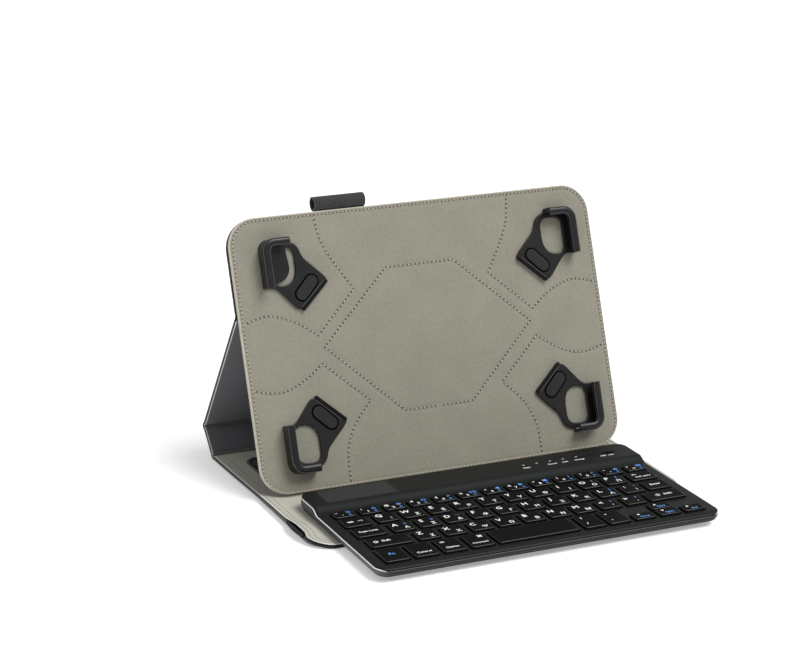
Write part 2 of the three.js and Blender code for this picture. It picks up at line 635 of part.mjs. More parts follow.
function keyboard() {
  const group = new THREE.Group();
  const keys = Object.values(keyGroups).flat();
  const throughDeck = [DECK_HEIGHT - CASE_WALL - BOOLEAN_MARGIN, DECK_HEIGHT + BOOLEAN_MARGIN];
  const wells = keys.map(({ x, width, y, depth }) => box(
    [x - width / 2 - KEY_CLEARANCE, x + width / 2 + KEY_CLEARANCE],
    [y - depth / 2 - KEY_CLEARANCE, y + depth / 2 + KEY_CLEARANCE],
    throughDeck,
  ));
  const throughBulge = [BULGE_HEIGHT - CASE_WALL - BOOLEAN_MARGIN, BULGE_HEIGHT + BOOLEAN_MARGIN];
  const portMouth = box(
    [PORT.x - PORT.width / 2 - 0.3, PORT.x + PORT.width / 2 + 0.3],
    [KEYBOARD_REAR - CASE_WALL - BOOLEAN_MARGIN, KEYBOARD_REAR + BOOLEAN_MARGIN],
    [PORT.z[0] - 0.3, PORT.z[1] + 0.3],
  );
  const cutters = [
    ...wells,
    ...indicatorPegs(0.2, throughBulge),
    box(POWER_SLOT.x, POWER_SLOT.y, throughBulge),
    portMouth,
  ];
  const topCase = cutters.reduce(
    (left, cutter) => left.subtract(solidOf(cutter)),
    caseBody(0).subtract(caseBody(CASE_WALL)),
  );
  group.add(part('keyboard_top_case', topCase, casePlastic));

  const trayFloor = KEYBOARD_BOTTOM + 1;
  const trayHollow = slab(outline(inset(keyboardEdges, CASE_WALL)), [trayFloor, PARTING_HEIGHT + 1]);
  const tray = slab(outline(keyboardEdges), [KEYBOARD_BOTTOM, PARTING_HEIGHT - 0.1]);
  group.add(part('keyboard_bottom_case', cutFrom(tray, [trayHollow]), casePlastic));

  group.add(part('dome_sheet', box([-110, 114.5], [-147.5, -54], [5.2, 5.6]), domeFilm));
  group.add(part('circuit_board', box([8, 114], [-46, -28.5], [5.4, 6.2]), circuitGreen));
  group.add(part('battery', box([-74, -4], [-46, -28], [5.3, 10.3]), cellFoil));
  const portShell = box([PORT.x - PORT.width / 2, PORT.x + PORT.width / 2], [-28.2, KEYBOARD_REAR], PORT.z);
  const portHollow = box([PORT.x - 3.4, PORT.x + 3.4], [-27.6, KEYBOARD_REAR + 1], [7.2, 9]);
  group.add(part('charge_port', cutFrom(portShell, [portHollow]), portSteel));
  const lastIndicator = INDICATORS.first + (INDICATORS.count - 1) * INDICATORS.pitch;
  const lensBar = box(
    [INDICATORS.first - 2, lastIndicator + 2],
    [INDICATORS.y - 1.5, INDICATORS.y + 1.5],
    [11, 12],
  );
  const lens = union([lensBar, ...indicatorPegs(0, [11.5, BULGE_HEIGHT + 0.1])]);
  group.add(part('indicator_lens', lens, lensClear));

  const slideTravel = 4;
  const knobRight = POWER_SLOT.x[1] - 0.4;
  const knobLeft = POWER_SLOT.x[0] + 0.4 + slideTravel;
  const knob = box([knobLeft, knobRight], [-36, -34.4], [11.4, BULGE_HEIGHT + 0.5]);
  const carrier = box([knobLeft - 1, knobRight + 1], [-38, -32.4], [10.6, 12]);
  group.add(part('power_switch', union([knob, carrier]), keyPlastic));

  for (const [name, list] of Object.entries(keyGroups)) {
    group.add(part(name, keyGroup(list), keyPlastic));
  }
  return group;
}

// ---------------------------------------------------------------- assembly
const root = new THREE.Group();
const cover = frontCover();
const spineGroup = spine();
const kickGroup = kickPanel();
const panelGroup = tabletPanel();

spineGroup.rotation.x = radians(SPINE_ANGLE);
kickGroup.position.set(0, SPINE_WIDTH, 0);
kickGroup.rotation.x = radians(FOLD_AT_SPINE);
panelGroup.position.set(0, KICK_LENGTH, 0);
panelGroup.rotation.x = radians(-FOLD_AT_CREASE);
kickGroup.add(panelGroup);
spineGroup.add(kickGroup);
cover.add(spineGroup);
root.add(cover, keyboard());

export default root;
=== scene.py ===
"""Looks of the tablet keyboard case: leather, cloth, stitching, moulded clips and the keyboard.

Shapes are drawn in millimetres in the flat frame of their own cover panel, with x to the right,
s from that panel's front hinge towards its rear one, and h up from the hinge line's level. Each
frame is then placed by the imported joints.
"""
import json
import math
from collections import namedtuple

import bmesh
import bpy
import numpy as np
from mathutils import Matrix, Vector
from mathutils.kdtree import KDTree


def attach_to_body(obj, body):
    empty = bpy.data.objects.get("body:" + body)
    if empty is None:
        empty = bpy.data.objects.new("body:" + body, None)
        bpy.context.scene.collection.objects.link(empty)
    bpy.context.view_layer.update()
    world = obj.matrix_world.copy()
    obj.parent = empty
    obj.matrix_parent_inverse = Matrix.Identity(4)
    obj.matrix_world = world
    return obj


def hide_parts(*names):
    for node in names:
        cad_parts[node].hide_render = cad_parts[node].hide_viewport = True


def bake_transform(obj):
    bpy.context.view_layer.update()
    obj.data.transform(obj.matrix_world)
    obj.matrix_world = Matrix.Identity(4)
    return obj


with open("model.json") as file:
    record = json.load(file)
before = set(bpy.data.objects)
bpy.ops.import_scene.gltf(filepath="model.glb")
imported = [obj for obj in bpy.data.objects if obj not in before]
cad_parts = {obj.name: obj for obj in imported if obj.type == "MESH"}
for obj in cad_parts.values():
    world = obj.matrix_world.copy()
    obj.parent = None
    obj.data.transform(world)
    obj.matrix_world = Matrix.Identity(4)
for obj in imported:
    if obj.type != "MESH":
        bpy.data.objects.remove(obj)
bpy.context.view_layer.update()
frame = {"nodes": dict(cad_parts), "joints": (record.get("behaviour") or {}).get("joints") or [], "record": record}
MM = 0.001

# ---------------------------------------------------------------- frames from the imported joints
JOINTS = {joint["name"]: joint for joint in frame["joints"]}
MOUNTS = {mount["name"]: mount for mount in frame["record"]["mounts"]}
TABLE_HINGE = Vector(JOINTS["spine_hinge"]["pos_m"])
SPINE_HINGE = Vector(JOINTS["kick_hinge"]["pos_m"])
CREASE_HINGE = Vector(JOINTS["crease_hinge"]["pos_m"])


def slope(vector):
    """Angle of a direction above +Y, in the YZ plane."""
    return math.atan2(vector[2], vector[1])


SPINE_ANGLE = slope(SPINE_HINGE - TABLE_HINGE)
KICK_ANGLE = slope(CREASE_HINGE - SPINE_HINGE)
PANEL_ANGLE = slope(MOUNTS["tablet_seat"]["axis"]) - math.pi / 2
SPINE_WIDTH = (SPINE_HINGE - TABLE_HINGE).length / MM
KICK_LENGTH = (CREASE_HINGE - SPINE_HINGE).length / MM


def placed(origin, angle):
    """A frame whose X line passes through origin, turned up by angle, in millimetres."""
    return Matrix.Translation(origin) @ Matrix.Rotation(angle, 4, "X") @ Matrix.Scale(MM, 4)


ROW = Matrix.Scale(MM, 4)
COVER = placed(TABLE_HINGE, 0)
SPINE = placed(TABLE_HINGE, SPINE_ANGLE)
KICK = placed(SPINE_HINGE, KICK_ANGLE)
PANEL = placed(CREASE_HINGE, PANEL_ANGLE)

# Where the covers bend: about the X line at s = hinge of the matrix's frame.
Fold = namedtuple("Fold", "matrix hinge angle bodies")
TABLE_FOLD = Fold(COVER, 0, SPINE_ANGLE, ("front_cover", "spine"))
SPINE_FOLD = Fold(SPINE, SPINE_WIDTH, KICK_ANGLE - SPINE_ANGLE, ("spine", "kick_panel"))
CREASE_FOLD = Fold(KICK, KICK_LENGTH, PANEL_ANGLE - KICK_ANGLE, ("kick_panel", "tablet_panel"))


def local_box(node, matrix):
    """Lowest and highest corner of a CAD node in one of the frames above, in millimetres."""
    back = matrix.inverted()
    corners = np.array([back @ vertex.co for vertex in frame["nodes"][node].data.vertices])
    return corners.min(0), corners.max(0)


# ---------------------------------------------------------------- sizes
COVER_LOW, COVER_HIGH = local_box("front_cover_skin", COVER)
COVER_WIDTH = COVER_HIGH[0] - COVER_LOW[0]
COVER_FRONT = COVER_LOW[1]
COVER_RADIUS = 16
PANEL_LOW, PANEL_HIGH = local_box("panel_facing", PANEL)
PANEL_WIDTH = PANEL_HIGH[0] - PANEL_LOW[0]
PANEL_FOOT, PANEL_TOP = PANEL_LOW[1], PANEL_HIGH[1]
FIELD_MIDDLE = PANEL_FOOT + 91  # middle of the hexagon the tablet lies on
PANEL_RADIUS = 19
SKIN_HALF = 0.4  # half the leather's thickness; heights are from its middle
RIM_TOP = 1.8  # top of the leather turned up round the board
UPPER_RIM_TOP = 2.6  # the same behind the tablet panel
LINING = (2.0, 2.6)  # heights of the linings' underside and top
FOLD_REACH = 4.0  # how far from a hinge line the covers start to bend
SPINE_SEAM = SPINE_WIDTH / 2  # where two leather pieces of one body meet
KICK_SEAM = KICK_LENGTH / 2
CASE_LOW, CASE_HIGH = local_box("keyboard_top_case", ROW)
CASE_MIDDLE = (CASE_LOW[0] + CASE_HIGH[0]) / 2
CASE_HALF = (CASE_HIGH[0] - CASE_LOW[0]) / 2
CASE_FRONT, CASE_REAR = CASE_LOW[1], CASE_HIGH[1]
CASE_RADII = (9, 9)


# ---------------------------------------------------------------- mesh tools
def smooth(t):
    t = np.clip(t, 0, 1)
    return t * t * (3 - 2 * t)


def through(matrix):
    """A placing function: flat (x, s, h) points to the row frame, in metres."""
    m = np.array(matrix)
    return lambda points: points @ m[:3, :3].T + m[:3, 3]


def folded(fold):
    """A placing function that first bends the points at a fold."""
    def place(points):
        along, up = points[:, 1] - fold.hinge, points[:, 2]
        share = smooth((along + FOLD_REACH) / (2 * FOLD_REACH))
        cos, sin = np.cos(share * fold.angle), np.sin(share * fold.angle)
        bent = np.stack([points[:, 0], fold.hinge + along * cos - up * sin, along * sin + up * cos], 1)
        return through(fold.matrix)(bent)
    return place


CURL_START = -114.5  # left of this the front cover lies free and lifts
CURL_WIDTH = 16.5
CURL_LIFT = 3.0  # at its front corner
CURL_LENGTH = 130


def curled(place):
    """The front cover's free left strip, which lifts a little towards its front corner."""
    def lifted(points):
        points = points.copy()
        out = np.clip((CURL_START - points[:, 0]) / CURL_WIDTH, 0, 1.05)
        points[:, 2] += CURL_LIFT * out**1.7 * smooth(-points[:, 1] / CURL_LENGTH)
        return place(points)
    return lifted


def make_piece(name, points, faces, materials, place, flat=False, indices=None):
    """A mesh object from flat points, with its flat place kept as a UV map in metres."""
    points = np.asarray(points, float)
    mesh = bpy.data.meshes.new(name)
    mesh.from_pydata(place(points).tolist(), [], [list(face) for face in faces])
    materials = materials if isinstance(materials, (list, tuple)) else [materials]
    for material in materials:
        mesh.materials.append(material)
    if indices is not None:
        mesh.polygons.foreach_set("material_index", np.asarray(indices, np.int32))
    mesh.polygons.foreach_set("use_smooth", [not flat] * len(mesh.polygons))
    layer = mesh.uv_layers.new(name="flat")
    corner = np.zeros(len(mesh.loops), np.int32)
    mesh.loops.foreach_get("vertex_index", corner)
    layer.data.foreach_set("uv", (points[corner, :2] * MM).astype(np.float32).ravel())
    mesh.validate()
    if not flat:
        mesh.set_sharp_from_angle(angle=math.radians(42))
    return shown(name, mesh)


def finish_piece(piece, body, nodes=()):
    """Rides on a body and stands for its CAD nodes."""
    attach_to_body(piece, body)
    if nodes:
        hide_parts(*nodes)
    return piece


def add(name, part, look, matrix, body, nodes=(), slot=None, **more):
    """A piece drawn in one of the flat frames, riding on a body."""
    return finish_piece(make_piece(name, *part, look, through(matrix), **more), body, nodes)


class Plan:
    """A rectangle with rounded front and rear corners, held as rows and columns of points.

    Rows and columns keep their numbers when the outline is inset, so loops of different insets
    join up. An end whose radius is 0 is a straight cut, and insets only pull it in by a hair.
    Between -true and +true the columns keep their place whatever the row's width.
    """

    HAIR = 0.02

    def __init__(self, width, front, rear, radii=(0, 0), step=5, rows=(), columns=(), middle=0,
                 true=None):
        self.half, self.ends, self.radii, self.middle = width / 2, (front, rear), radii, middle
        self.true = true or self.half - 2 * max(*radii, 3)
        straight = (front + radii[0], rear - radii[1])
        count = max(1, round((straight[1] - straight[0]) / step))
        lines = np.concatenate([np.linspace(*straight, count + 1), rows])
        inside = spaced(lines[(lines >= straight[0]) & (lines <= straight[1])])
        self.rows = [(-1, a) for a in self.arc(0, lines)[::-1]] + [(0, s) for s in inside]
        self.rows += [(1, a) for a in self.arc(1, lines)]
        across = np.linspace(-self.half, self.half, max(2, round(width / step)) + 1)
        self.columns = spaced(np.concatenate([across, np.asarray(columns) - middle]))

    def arc(self, end, lines):
        """Angles of the rows round one end's corners, with rows at any lines that cross them."""
        radius = self.radii[end]
        if not radius:
            return []
        start = self.ends[end] + (radius if end == 0 else -radius)
        depth = (lines - start) * (-1 if end == 0 else 1) / radius
        crossing = np.arcsin(depth[(depth > 0.02) & (depth < 0.98)])
        even = np.linspace(0, math.pi / 2, max(6, round(radius / 1.2)) + 1)[1:]
        return spaced(np.concatenate([even, crossing]), 0.01)

    def at(self, inset):
        """x and s of every grid point with the outline inset."""
        half, s = [], []
        for end, value in self.rows:
            if end == 0:
                cut = [place for place, radius in zip(self.ends, self.radii) if radius == 0]
                hair = self.HAIR * inset if any(abs(value - place) < 1e-6 for place in cut) else 0
                half.append(self.half - inset)
                s.append(value + (hair if value < sum(self.ends) / 2 else -hair))
                continue
            place = self.ends[0] if end < 0 else self.ends[1]
            radius = self.radii[0] if end < 0 else self.radii[1]
            turn = radius - inset
            half.append(self.half - inset - turn * (1 - math.cos(value)))
            s.append(place - end * (radius - turn * math.sin(value)))
        half, s = np.array(half)[:, None], np.array(s)[:, None]
        keep = np.minimum(self.true, half - 0.6 * (self.half - self.true))
        away = np.abs(self.columns)[None, :]
        squeezed = keep + (away - keep) * (half - keep) / (self.half - keep)
        x = self.middle + np.sign(self.columns)[None, :] * np.where(away > keep, squeezed, away)
        return x, np.broadcast_to(s, x.shape)

    def cell_middles(self, inset):
        """x and s of the middle of every grid cell with the outline inset."""
        return [(line[1:, 1:] + line[:-1, :-1]) / 2 for line in self.at(inset)]

    def edge(self):
        """Row and column numbers once round the outline."""
        last_row, last_column = len(self.rows) - 1, len(self.columns) - 1
        loop = [(0, c) for c in range(last_column)] + [(r, last_column) for r in range(last_row)]
        loop += [(last_row, c) for c in range(last_column, 0, -1)]
        return loop + [(r, 0) for r in range(last_row, 0, -1)]

    def depth(self, x, s):
        """How far points lie inside the outline; straight cuts don't count."""
        x = np.abs(np.asarray(x, float) - self.middle)
        inside = self.half - x
        for place, radius, way in zip(self.ends, self.radii, (1, -1)):
            if radius:
                in_s = (np.asarray(s, float) - place) * way
                corner = radius - np.hypot(x - self.half + radius, radius - in_s)
                in_corner = (x > self.half - radius) & (in_s < radius)
                inside = np.where(in_corner, corner, np.minimum(inside, in_s))
        return inside


def spaced(values, least=0.04):
    """Sorted values without near repeats."""
    values = np.sort(np.asarray(values, float))
    return values[np.concatenate([[True], np.diff(values) > least])]


def shell(plan, layers, holes=None):
    """A closed skin: a top grid, loops of (inset, height) round the rim and a bottom grid.

    A height is a number or a function of (x, s). holes marks grid cells that are open right
    through. Returns points, faces, and the number of the layer that each face belongs to, which
    is -1 on top, -2 underneath and -3 on a hole's wall.
    """
    def layer(inset, height):
        x, s = plan.at(inset)
        h = height(x, s) if callable(height) else np.full(x.shape, float(height))
        return np.stack([x, s, h], 2).reshape(-1, 3)

    rows, columns = len(plan.rows), len(plan.columns)
    loop = np.array([r * columns + c for r, c in plan.edge()])
    points, rings = [layer(*layers[0])], [loop]
    start = rows * columns
    for inset, height in layers[1:-1]:
        points.append(layer(inset, height)[loop])
        rings.append(np.arange(start, start + len(loop)))
        start += len(loop)
    points.append(layer(*layers[-1]))
    rings.append(loop + start)
    faces, kinds = [], []
    open_cells = np.zeros((rows - 1, columns - 1), bool) if holes is None else holes
    for r in range(rows - 1):
        for c in range(columns - 1):
            if open_cells[r, c]:
                continue
            a, b = r * columns + c, (r + 1) * columns + c
            faces += [(a, a + 1, b + 1, b), (start + b, start + b + 1, start + a + 1, start + a)]
            kinds += [-1, -2]
    for number, (upper, lower) in enumerate(zip(rings, rings[1:])):
        for i in range(len(loop)):
            j = (i + 1) % len(loop)
            faces.append((upper[i], lower[i], lower[j], upper[j]))
            kinds.append(number)
    for r, c in np.argwhere(open_cells):
        corners = [(r, c), (r, c + 1), (r + 1, c + 1), (r + 1, c)]
        beyond = [(r - 1, c), (r, c + 1), (r + 1, c), (r, c - 1)]
        for side, other in enumerate(beyond):
            if open_cells[other]:
                continue
            (r0, c0), (r1, c1) = corners[side], corners[(side + 1) % 4]
            a, b = r0 * columns + c0, r1 * columns + c1
            faces.append((a, b, start + b, start + a))
            kinds.append(-3)
    return np.concatenate(points), faces, np.array(kinds)


def between(kinds, first, beyond):
    """Which faces of a shell belong to its layers from first up to beyond."""
    return (kinds >= first) & (kinds < beyond)


def applied(source):
    """A mesh from an object with its modifiers applied."""
    bpy.context.view_layer.update()
    depsgraph = bpy.context.evaluated_depsgraph_get()
    return bpy.data.meshes.new_from_object(source.evaluated_get(depsgraph), depsgraph=depsgraph)


def arrays_of(source):
    """Points and faces of an object as it shows; the object is removed."""
    mesh = applied(source)
    mesh.transform(source.matrix_world)
    bpy.data.objects.remove(source)
    points = np.zeros(len(mesh.vertices) * 3)
    mesh.vertices.foreach_get("co", points)
    return points.reshape(-1, 3), [list(polygon.vertices) for polygon in mesh.polygons]


def rectangle(x_from, x_to, y_from, y_to, front, rear, steps=6):
    """Outline of a rectangle with corners of the front and the rear radius."""
    return rounded_polygon([(x_from, y_from, front), (x_to, y_from, front), (x_to, y_to, rear),
                            (x_from, y_to, rear)], steps)


def rounded_polygon(corners, steps=6):
    """Points of a closed outline from (x, y, corner radius)."""
    outline = []
    count = len(corners)
    for i, (x, y, radius) in enumerate(corners):
        here = Vector((x, y))
        before = (Vector(corners[i - 1][:2]) - here).normalized()
        after = (Vector(corners[(i + 1) % count][:2]) - here).normalized()
        half_angle = before.angle(after) / 2
        if radius <= 0 or half_angle > math.pi / 2 - 0.02:
            outline.append((x, y))
            continue
        cut = radius / math.tan(half_angle)
        start, end = here + before * cut, here + after * cut
        centre = here + (before + after).normalized() * (radius / math.sin(half_angle))
        first, last = start - centre, end - centre
        sweep = first.angle_signed(last)
        for k in range(steps + 1):
            turned = first.copy()
            turned.rotate(Matrix.Rotation(-sweep * k / steps, 2))
            outline.append(tuple(centre + turned))
    return outline


def capsule_outline(centre, direction, half_length, radius, steps=10):
    """Points of a slot with round ends."""
    turn = math.atan2(direction[1], direction[0])
    outline = []
    for side in (1, -1):
        end = Vector(centre) + Vector(direction).normalized() * half_length * side
        first = turn - math.pi / 2 + (math.pi if side < 0 else 0)
        for k in range(steps + 1):
            a = first + math.pi * k / steps
            outline.append((end.x + radius * math.cos(a), end.y + radius * math.sin(a)))
    return outline


def drawn(steps, parts=8):
    """Points of an outline from (x, y) corners and (control x, control y, x, y) curves."""
    outline = []
    for step in steps:
        if len(step) == 2:
            outline.append(step)
            continue
        start, control, end = np.array(outline[-1]), np.array(step[:2]), np.array(step[2:])
        for t in np.linspace(0, 1, parts + 1)[1:]:
            outline.append(tuple((1 - t) ** 2 * start + 2 * t * (1 - t) * control + t * t * end))
    return outline


def shown(name, data):
    """A new object in the scene."""
    made = bpy.data.objects.new(name, data)
    bpy.context.scene.collection.objects.link(made)
    return made


def plate_part(outlines, low, high, bevel):
    """A flat plate with rounded edges, from an outline and any holes in it."""
    curve = bpy.data.curves.new("plate", "CURVE")
    curve.dimensions = "2D"
    curve.fill_mode = "BOTH"
    for outline in outlines:
        spline = curve.splines.new("POLY")
        spline.points.add(len(outline) - 1)
        spline.points.foreach_set("co", [value for x, y in outline for value in (x, y, 0, 1)])
        spline.use_cyclic_u = True
    curve.extrude = (high - low) / 2 - bevel
    curve.bevel_depth = bevel
    curve.bevel_resolution = 2
    curve.offset = -bevel
    plate = shown("plate", curve)
    plate.location.z = (high + low) / 2
    return arrays_of(plate)


def side_faces(n, rings, closed=False):
    """Faces between rings of n points each; closed joins the last ring to the first."""
    faces = []
    for r in range(rings if closed else rings - 1):
        here, there = r * n, (r + 1) % rings * n
        faces += [(here + k, here + (k + 1) % n, there + (k + 1) % n, there + k) for k in range(n)]
    return faces


def tube_faces(n, rings):
    """Faces between rings of n points each, and the two ends."""
    return [tuple(range(n))[::-1], tuple(range((rings - 1) * n, rings * n)), *side_faces(n, rings)]


def sweep(path, section):
    """Points and faces of a closed section carried along a path of (point, inward normal)."""
    points = []
    for (x, y), (nx, ny) in path:
        points += [(x + inward * nx, y + inward * ny, height) for inward, height in section]
    return points, tube_faces(len(section), len(path))


def joined(parts):
    """Several (points, faces) as one."""
    points, faces, start = [], [], 0
    for more_points, more_faces in parts:
        points.append(np.asarray(more_points, float))
        faces += [tuple(i + start for i in face) for face in more_faces]
        start += len(more_points)
    return np.concatenate(points), faces


def outward(piece):
    """Turns every face of a closed mesh outwards."""
    work = bmesh.new()
    work.from_mesh(piece.data)
    bmesh.ops.recalc_face_normals(work, faces=work.faces)
    work.to_mesh(piece.data)
    work.free()
    return piece


# ---------------------------------------------------------------- camera, light and floor
def set_camera():
    """Slightly above the case and to the left of it, far enough away for a gentle perspective."""
    camera = shown("camera", bpy.data.cameras.new("camera"))
    aim(camera, (-0.6240, -1.3237, 0.5461), (-0.0114, 0.0502, 0.0923))
    camera.data.lens = 105.57
    camera.data.sensor_width = 36
    bpy.context.scene.camera = camera


def aim(thing, place, target):
    """Puts a camera or light at a place, looking at a target."""
    thing.location = place
    thing.rotation_euler = (Vector(target) - Vector(place)).to_track_quat("-Z", "Y").to_euler()


def add_light(name, kind, power, place, target=(0, 0, 0)):
    light = shown(name, bpy.data.lights.new(name, kind))
    light.data.energy = power
    aim(light, place, target)
    return light.data


def set_stage():
    """A large white floor, a pale surround, a broad soft sun and a small lamp on the left."""
    floor_size = 30
    mesh = bpy.data.meshes.new("floor")
    corners = [(-1, -1), (1, -1), (1, 1), (-1, 1)]
    mesh.from_pydata([(x * floor_size, y * floor_size, -0.0002) for x, y in corners], [], [(0, 1, 2, 3)])
    white = plain("floor_white", (0.9, 0.9, 0.9), 0.9, gloss=0.1)
    glow = white.node_tree.nodes["Principled BSDF"].inputs
    glow["Emission Color"].default_value = (1, 1, 1, 1)
    glow["Emission Strength"].default_value = 0.32
    mesh.materials.append(white)
    shown("floor", mesh)

    world = bpy.data.worlds.new("surround")
    world.use_nodes = True
    background = world.node_tree.nodes["Background"]
    background.inputs["Color"].default_value = (1, 1, 1, 1)
    background.inputs["Strength"].default_value = 0.5
    bpy.context.scene.world = world
    sun = add_light("key_light", "SUN", 2.65, (0.55, -0.75, 1.35))
    sun.angle = math.radians(34)
    lamp = add_light("strip_light", "AREA", 0.8, (-1.1, -0.1, 0.75), (-0.05, 0, 0.02))
    lamp.shape, lamp.size = "DISK", 0.35


def set_view():
    """Plain studio contrast, without a film-like curve."""
    bpy.context.scene.view_settings.view_transform = "Standard"
    bpy.context.scene.view_settings.look = "None"


# ---------------------------------------------------------------- material tools
class Look:
    """A node material: its shader, and short ways to add nodes to it."""

    def __init__(self, name, roughness=0.5, metallic=0, gloss=0.5, **fixed):
        self.material = bpy.data.materials.new(name)
        self.material.use_nodes = True
        self.tree = self.material.node_tree
        self.shader = self.tree.nodes["Principled BSDF"]
        self.shader.inputs["Roughness"].default_value = roughness
        self.shader.inputs["Metallic"].default_value = metallic
        self.shader.inputs["Specular IOR Level"].default_value = gloss
        for key, value in fixed.items():
            self.shader.inputs[key.replace("_", " ").title()].default_value = value

    def node(self, kind, inputs=(), **settings):
        made = self.tree.nodes.new("ShaderNode" + kind)
        for key, value in settings.items():
            setattr(made, key, value)
        for key, value in dict(inputs).items():
            if isinstance(value, bpy.types.NodeSocket):
                self.tree.links.new(value, made.inputs[key])
            else:
                made.inputs[key].default_value = value
        return made

    def place(self, flat=False, turn=0, scale=(1, 1, 1)):
        """Object coordinates in metres, or the flat coordinates that stay put when a piece bends."""
        source = self.node("TexCoord").outputs["Object"]
        if flat:
            source = self.node("UVMap", uv_map="flat").outputs["UV"]
        inputs = {"Vector": source, "Rotation": (0, 0, turn), "Scale": scale}
        return self.node("Mapping", inputs).outputs["Vector"]

    def noise(self, size, detail=3, roughness=0.55, **more):
        """Noise whose patches are about size across, in millimetres."""
        inputs = {"Vector": self.place(**more), "Scale": 1 / (size * MM)}
        inputs.update({"Detail": detail, "Roughness": roughness})
        return self.node("TexNoise", inputs).outputs["Fac"]

    def cells(self, size, **more):
        inputs = {"Vector": self.place(**more), "Scale": 1 / (size * MM)}
        return self.node("TexVoronoi", inputs).outputs["Distance"]

    def bands(self, pitch, turn=0, flat=True, wobble=0, profile="SIN"):
        """Parallel ridges, pitch apart in millimetres, across the X direction turned by turn."""
        inputs = {"Vector": self.place(flat=flat, turn=turn), "Scale": 0.314159 / (pitch * MM)}
        inputs.update({"Distortion": wobble, "Detail": 1, "Detail Scale": 2})
        wave = self.node("TexWave", inputs, bands_direction="X", wave_profile=profile)
        return wave.outputs["Fac"]

    def maths(self, operation, *values):
        return self.node("Math", dict(enumerate(values)), operation=operation).outputs[0]

    def total(self, *shares):
        """Sum of values, each times its share."""
        parts = [self.maths("MULTIPLY", value, share) for value, share in shares]
        while len(parts) > 1:
            parts[:2] = [self.maths("ADD", *parts[:2])]
        return parts[0]

    def range(self, value, low, high, to_low=0.0, to_high=1.0):
        inputs = {"Value": value, "From Min": low, "From Max": high, "To Min": to_low, "To Max": to_high}
        return self.node("MapRange", inputs).outputs["Result"]

    def colours(self, value, dark, light):
        """Colour that goes from dark to light as a value goes from 0 to 1."""
        mix = self.node("Mix", data_type="RGBA")
        self.tree.links.new(value, mix.inputs["Factor"])
        mix.inputs[6].default_value = (*dark, 1)
        mix.inputs[7].default_value = (*light, 1)
        self.tree.links.new(mix.outputs[2], self.shader.inputs["Base Color"])
        return self

    def rough(self, value, low, high):
        self.tree.links.new(self.range(value, 0, 1, low, high), self.shader.inputs["Roughness"])
        return self

    def relief(self, value, depth):
        """Bump of that depth in millimetres."""
        inputs = {"Height": value, "Distance": depth * MM, "Strength": 1}
        if self.shader.inputs["Normal"].is_linked:
            inputs["Normal"] = self.shader.inputs["Normal"].links[0].from_socket
        bump = self.node("Bump", inputs)
        self.tree.links.new(bump.outputs["Normal"], self.shader.inputs["Normal"])
        return self


def shades(colour, spread):
    """A darker and a lighter version of a colour."""
    return [c * (1 - spread) for c in colour], [min(1, c * (1 + spread)) for c in colour]


def plain(name, colour, roughness, gloss=0.5):
    """Smooth matter with faint mottling in colour and gloss."""
    look = Look(name, roughness, gloss=gloss)
    mottle = look.noise(6)
    look.colours(mottle, *shades(colour, 0.04))
    return look.rough(mottle, roughness - 0.05, roughness + 0.05).material


# ---------------------------------------------------------------- materials
def saffiano():
    """Black coated leather, embossed with a fine cross-hatch."""
    look = Look("black_leather", 0.42, coat_weight=0.08, coat_roughness=0.35)
    one = look.bands(0.95, turn=math.radians(38), wobble=1.2)
    other = look.bands(0.95, turn=math.radians(-38), wobble=1.2)
    hatch = look.maths("MAXIMUM", one, other)
    fine = look.noise(0.35, flat=True)
    broad = look.noise(30, detail=5, flat=True)
    ridge = look.total((hatch, 0.8), (fine, 0.35))
    look.colours(look.maths("MULTIPLY", ridge, broad), (0.007, 0.007, 0.008), (0.046, 0.046, 0.049))
    look.rough(broad, 0.34, 0.52)
    return look.relief(ridge, 0.09).material


def smooth_leather():
    """The same coating without its embossing, pressed smooth along the rolled edges."""
    look = Look("pressed_leather", 0.36, gloss=0.16)
    grain = look.cells(0.5, flat=True)
    look.colours(look.noise(3, flat=True), (0.004, 0.004, 0.0045), (0.011, 0.011, 0.012))
    return look.relief(grain, 0.02).material


def suede(name, colour):
    """Short-napped microfibre cloth."""
    look = Look(name, 0.95, sheen_weight=0.1, sheen_roughness=0.45)
    nap = look.noise(0.55, detail=4, roughness=0.7, flat=True)
    tufts = look.noise(2.2, flat=True)
    broad = look.noise(28, flat=True)
    mixed = look.total((nap, 0.55), (tufts, 0.3), (broad, 0.25))
    look.colours(look.range(mixed, 0.35, 0.78), *shades(colour, 0.24))
    return look.relief(nap, 0.16).relief(tufts, 0.12).material


def lining_cloth(name, colour, weave=0.45):
    """Smooth backing cloth with a weave that only shows close up."""
    look = Look(name, 0.8, sheen_weight=0.15, sheen_roughness=0.5)
    warp = look.bands(weave)
    weft = look.bands(weave, turn=math.pi / 2)
    cross = look.maths("MULTIPLY", warp, weft)
    broad = look.noise(18, detail=4, flat=True)
    look.colours(look.total((cross, 0.25), (broad, 0.75)), *shades(colour, 0.18))
    return look.relief(cross, 0.05).material


def webbing(name, light, sheen):
    """Black elastic: ribs are in the shape, and this adds the threads along them."""
    look = Look(name, 0.75, gloss=0.25, sheen_weight=sheen, sheen_roughness=0.4)
    threads = look.cells(0.32)
    look.colours(threads, (0.006, 0.006, 0.007), (light, light, light * 1.06))
    return look.relief(threads, 0.1).material


def thread(name, colour):
    """Twisted sewing thread."""
    look = Look(name, 0.6, sheen_weight=0.3)
    twist = look.noise(0.3)
    look.colours(twist, *shades(colour, 0.35))
    return look.relief(twist, 0.06).material


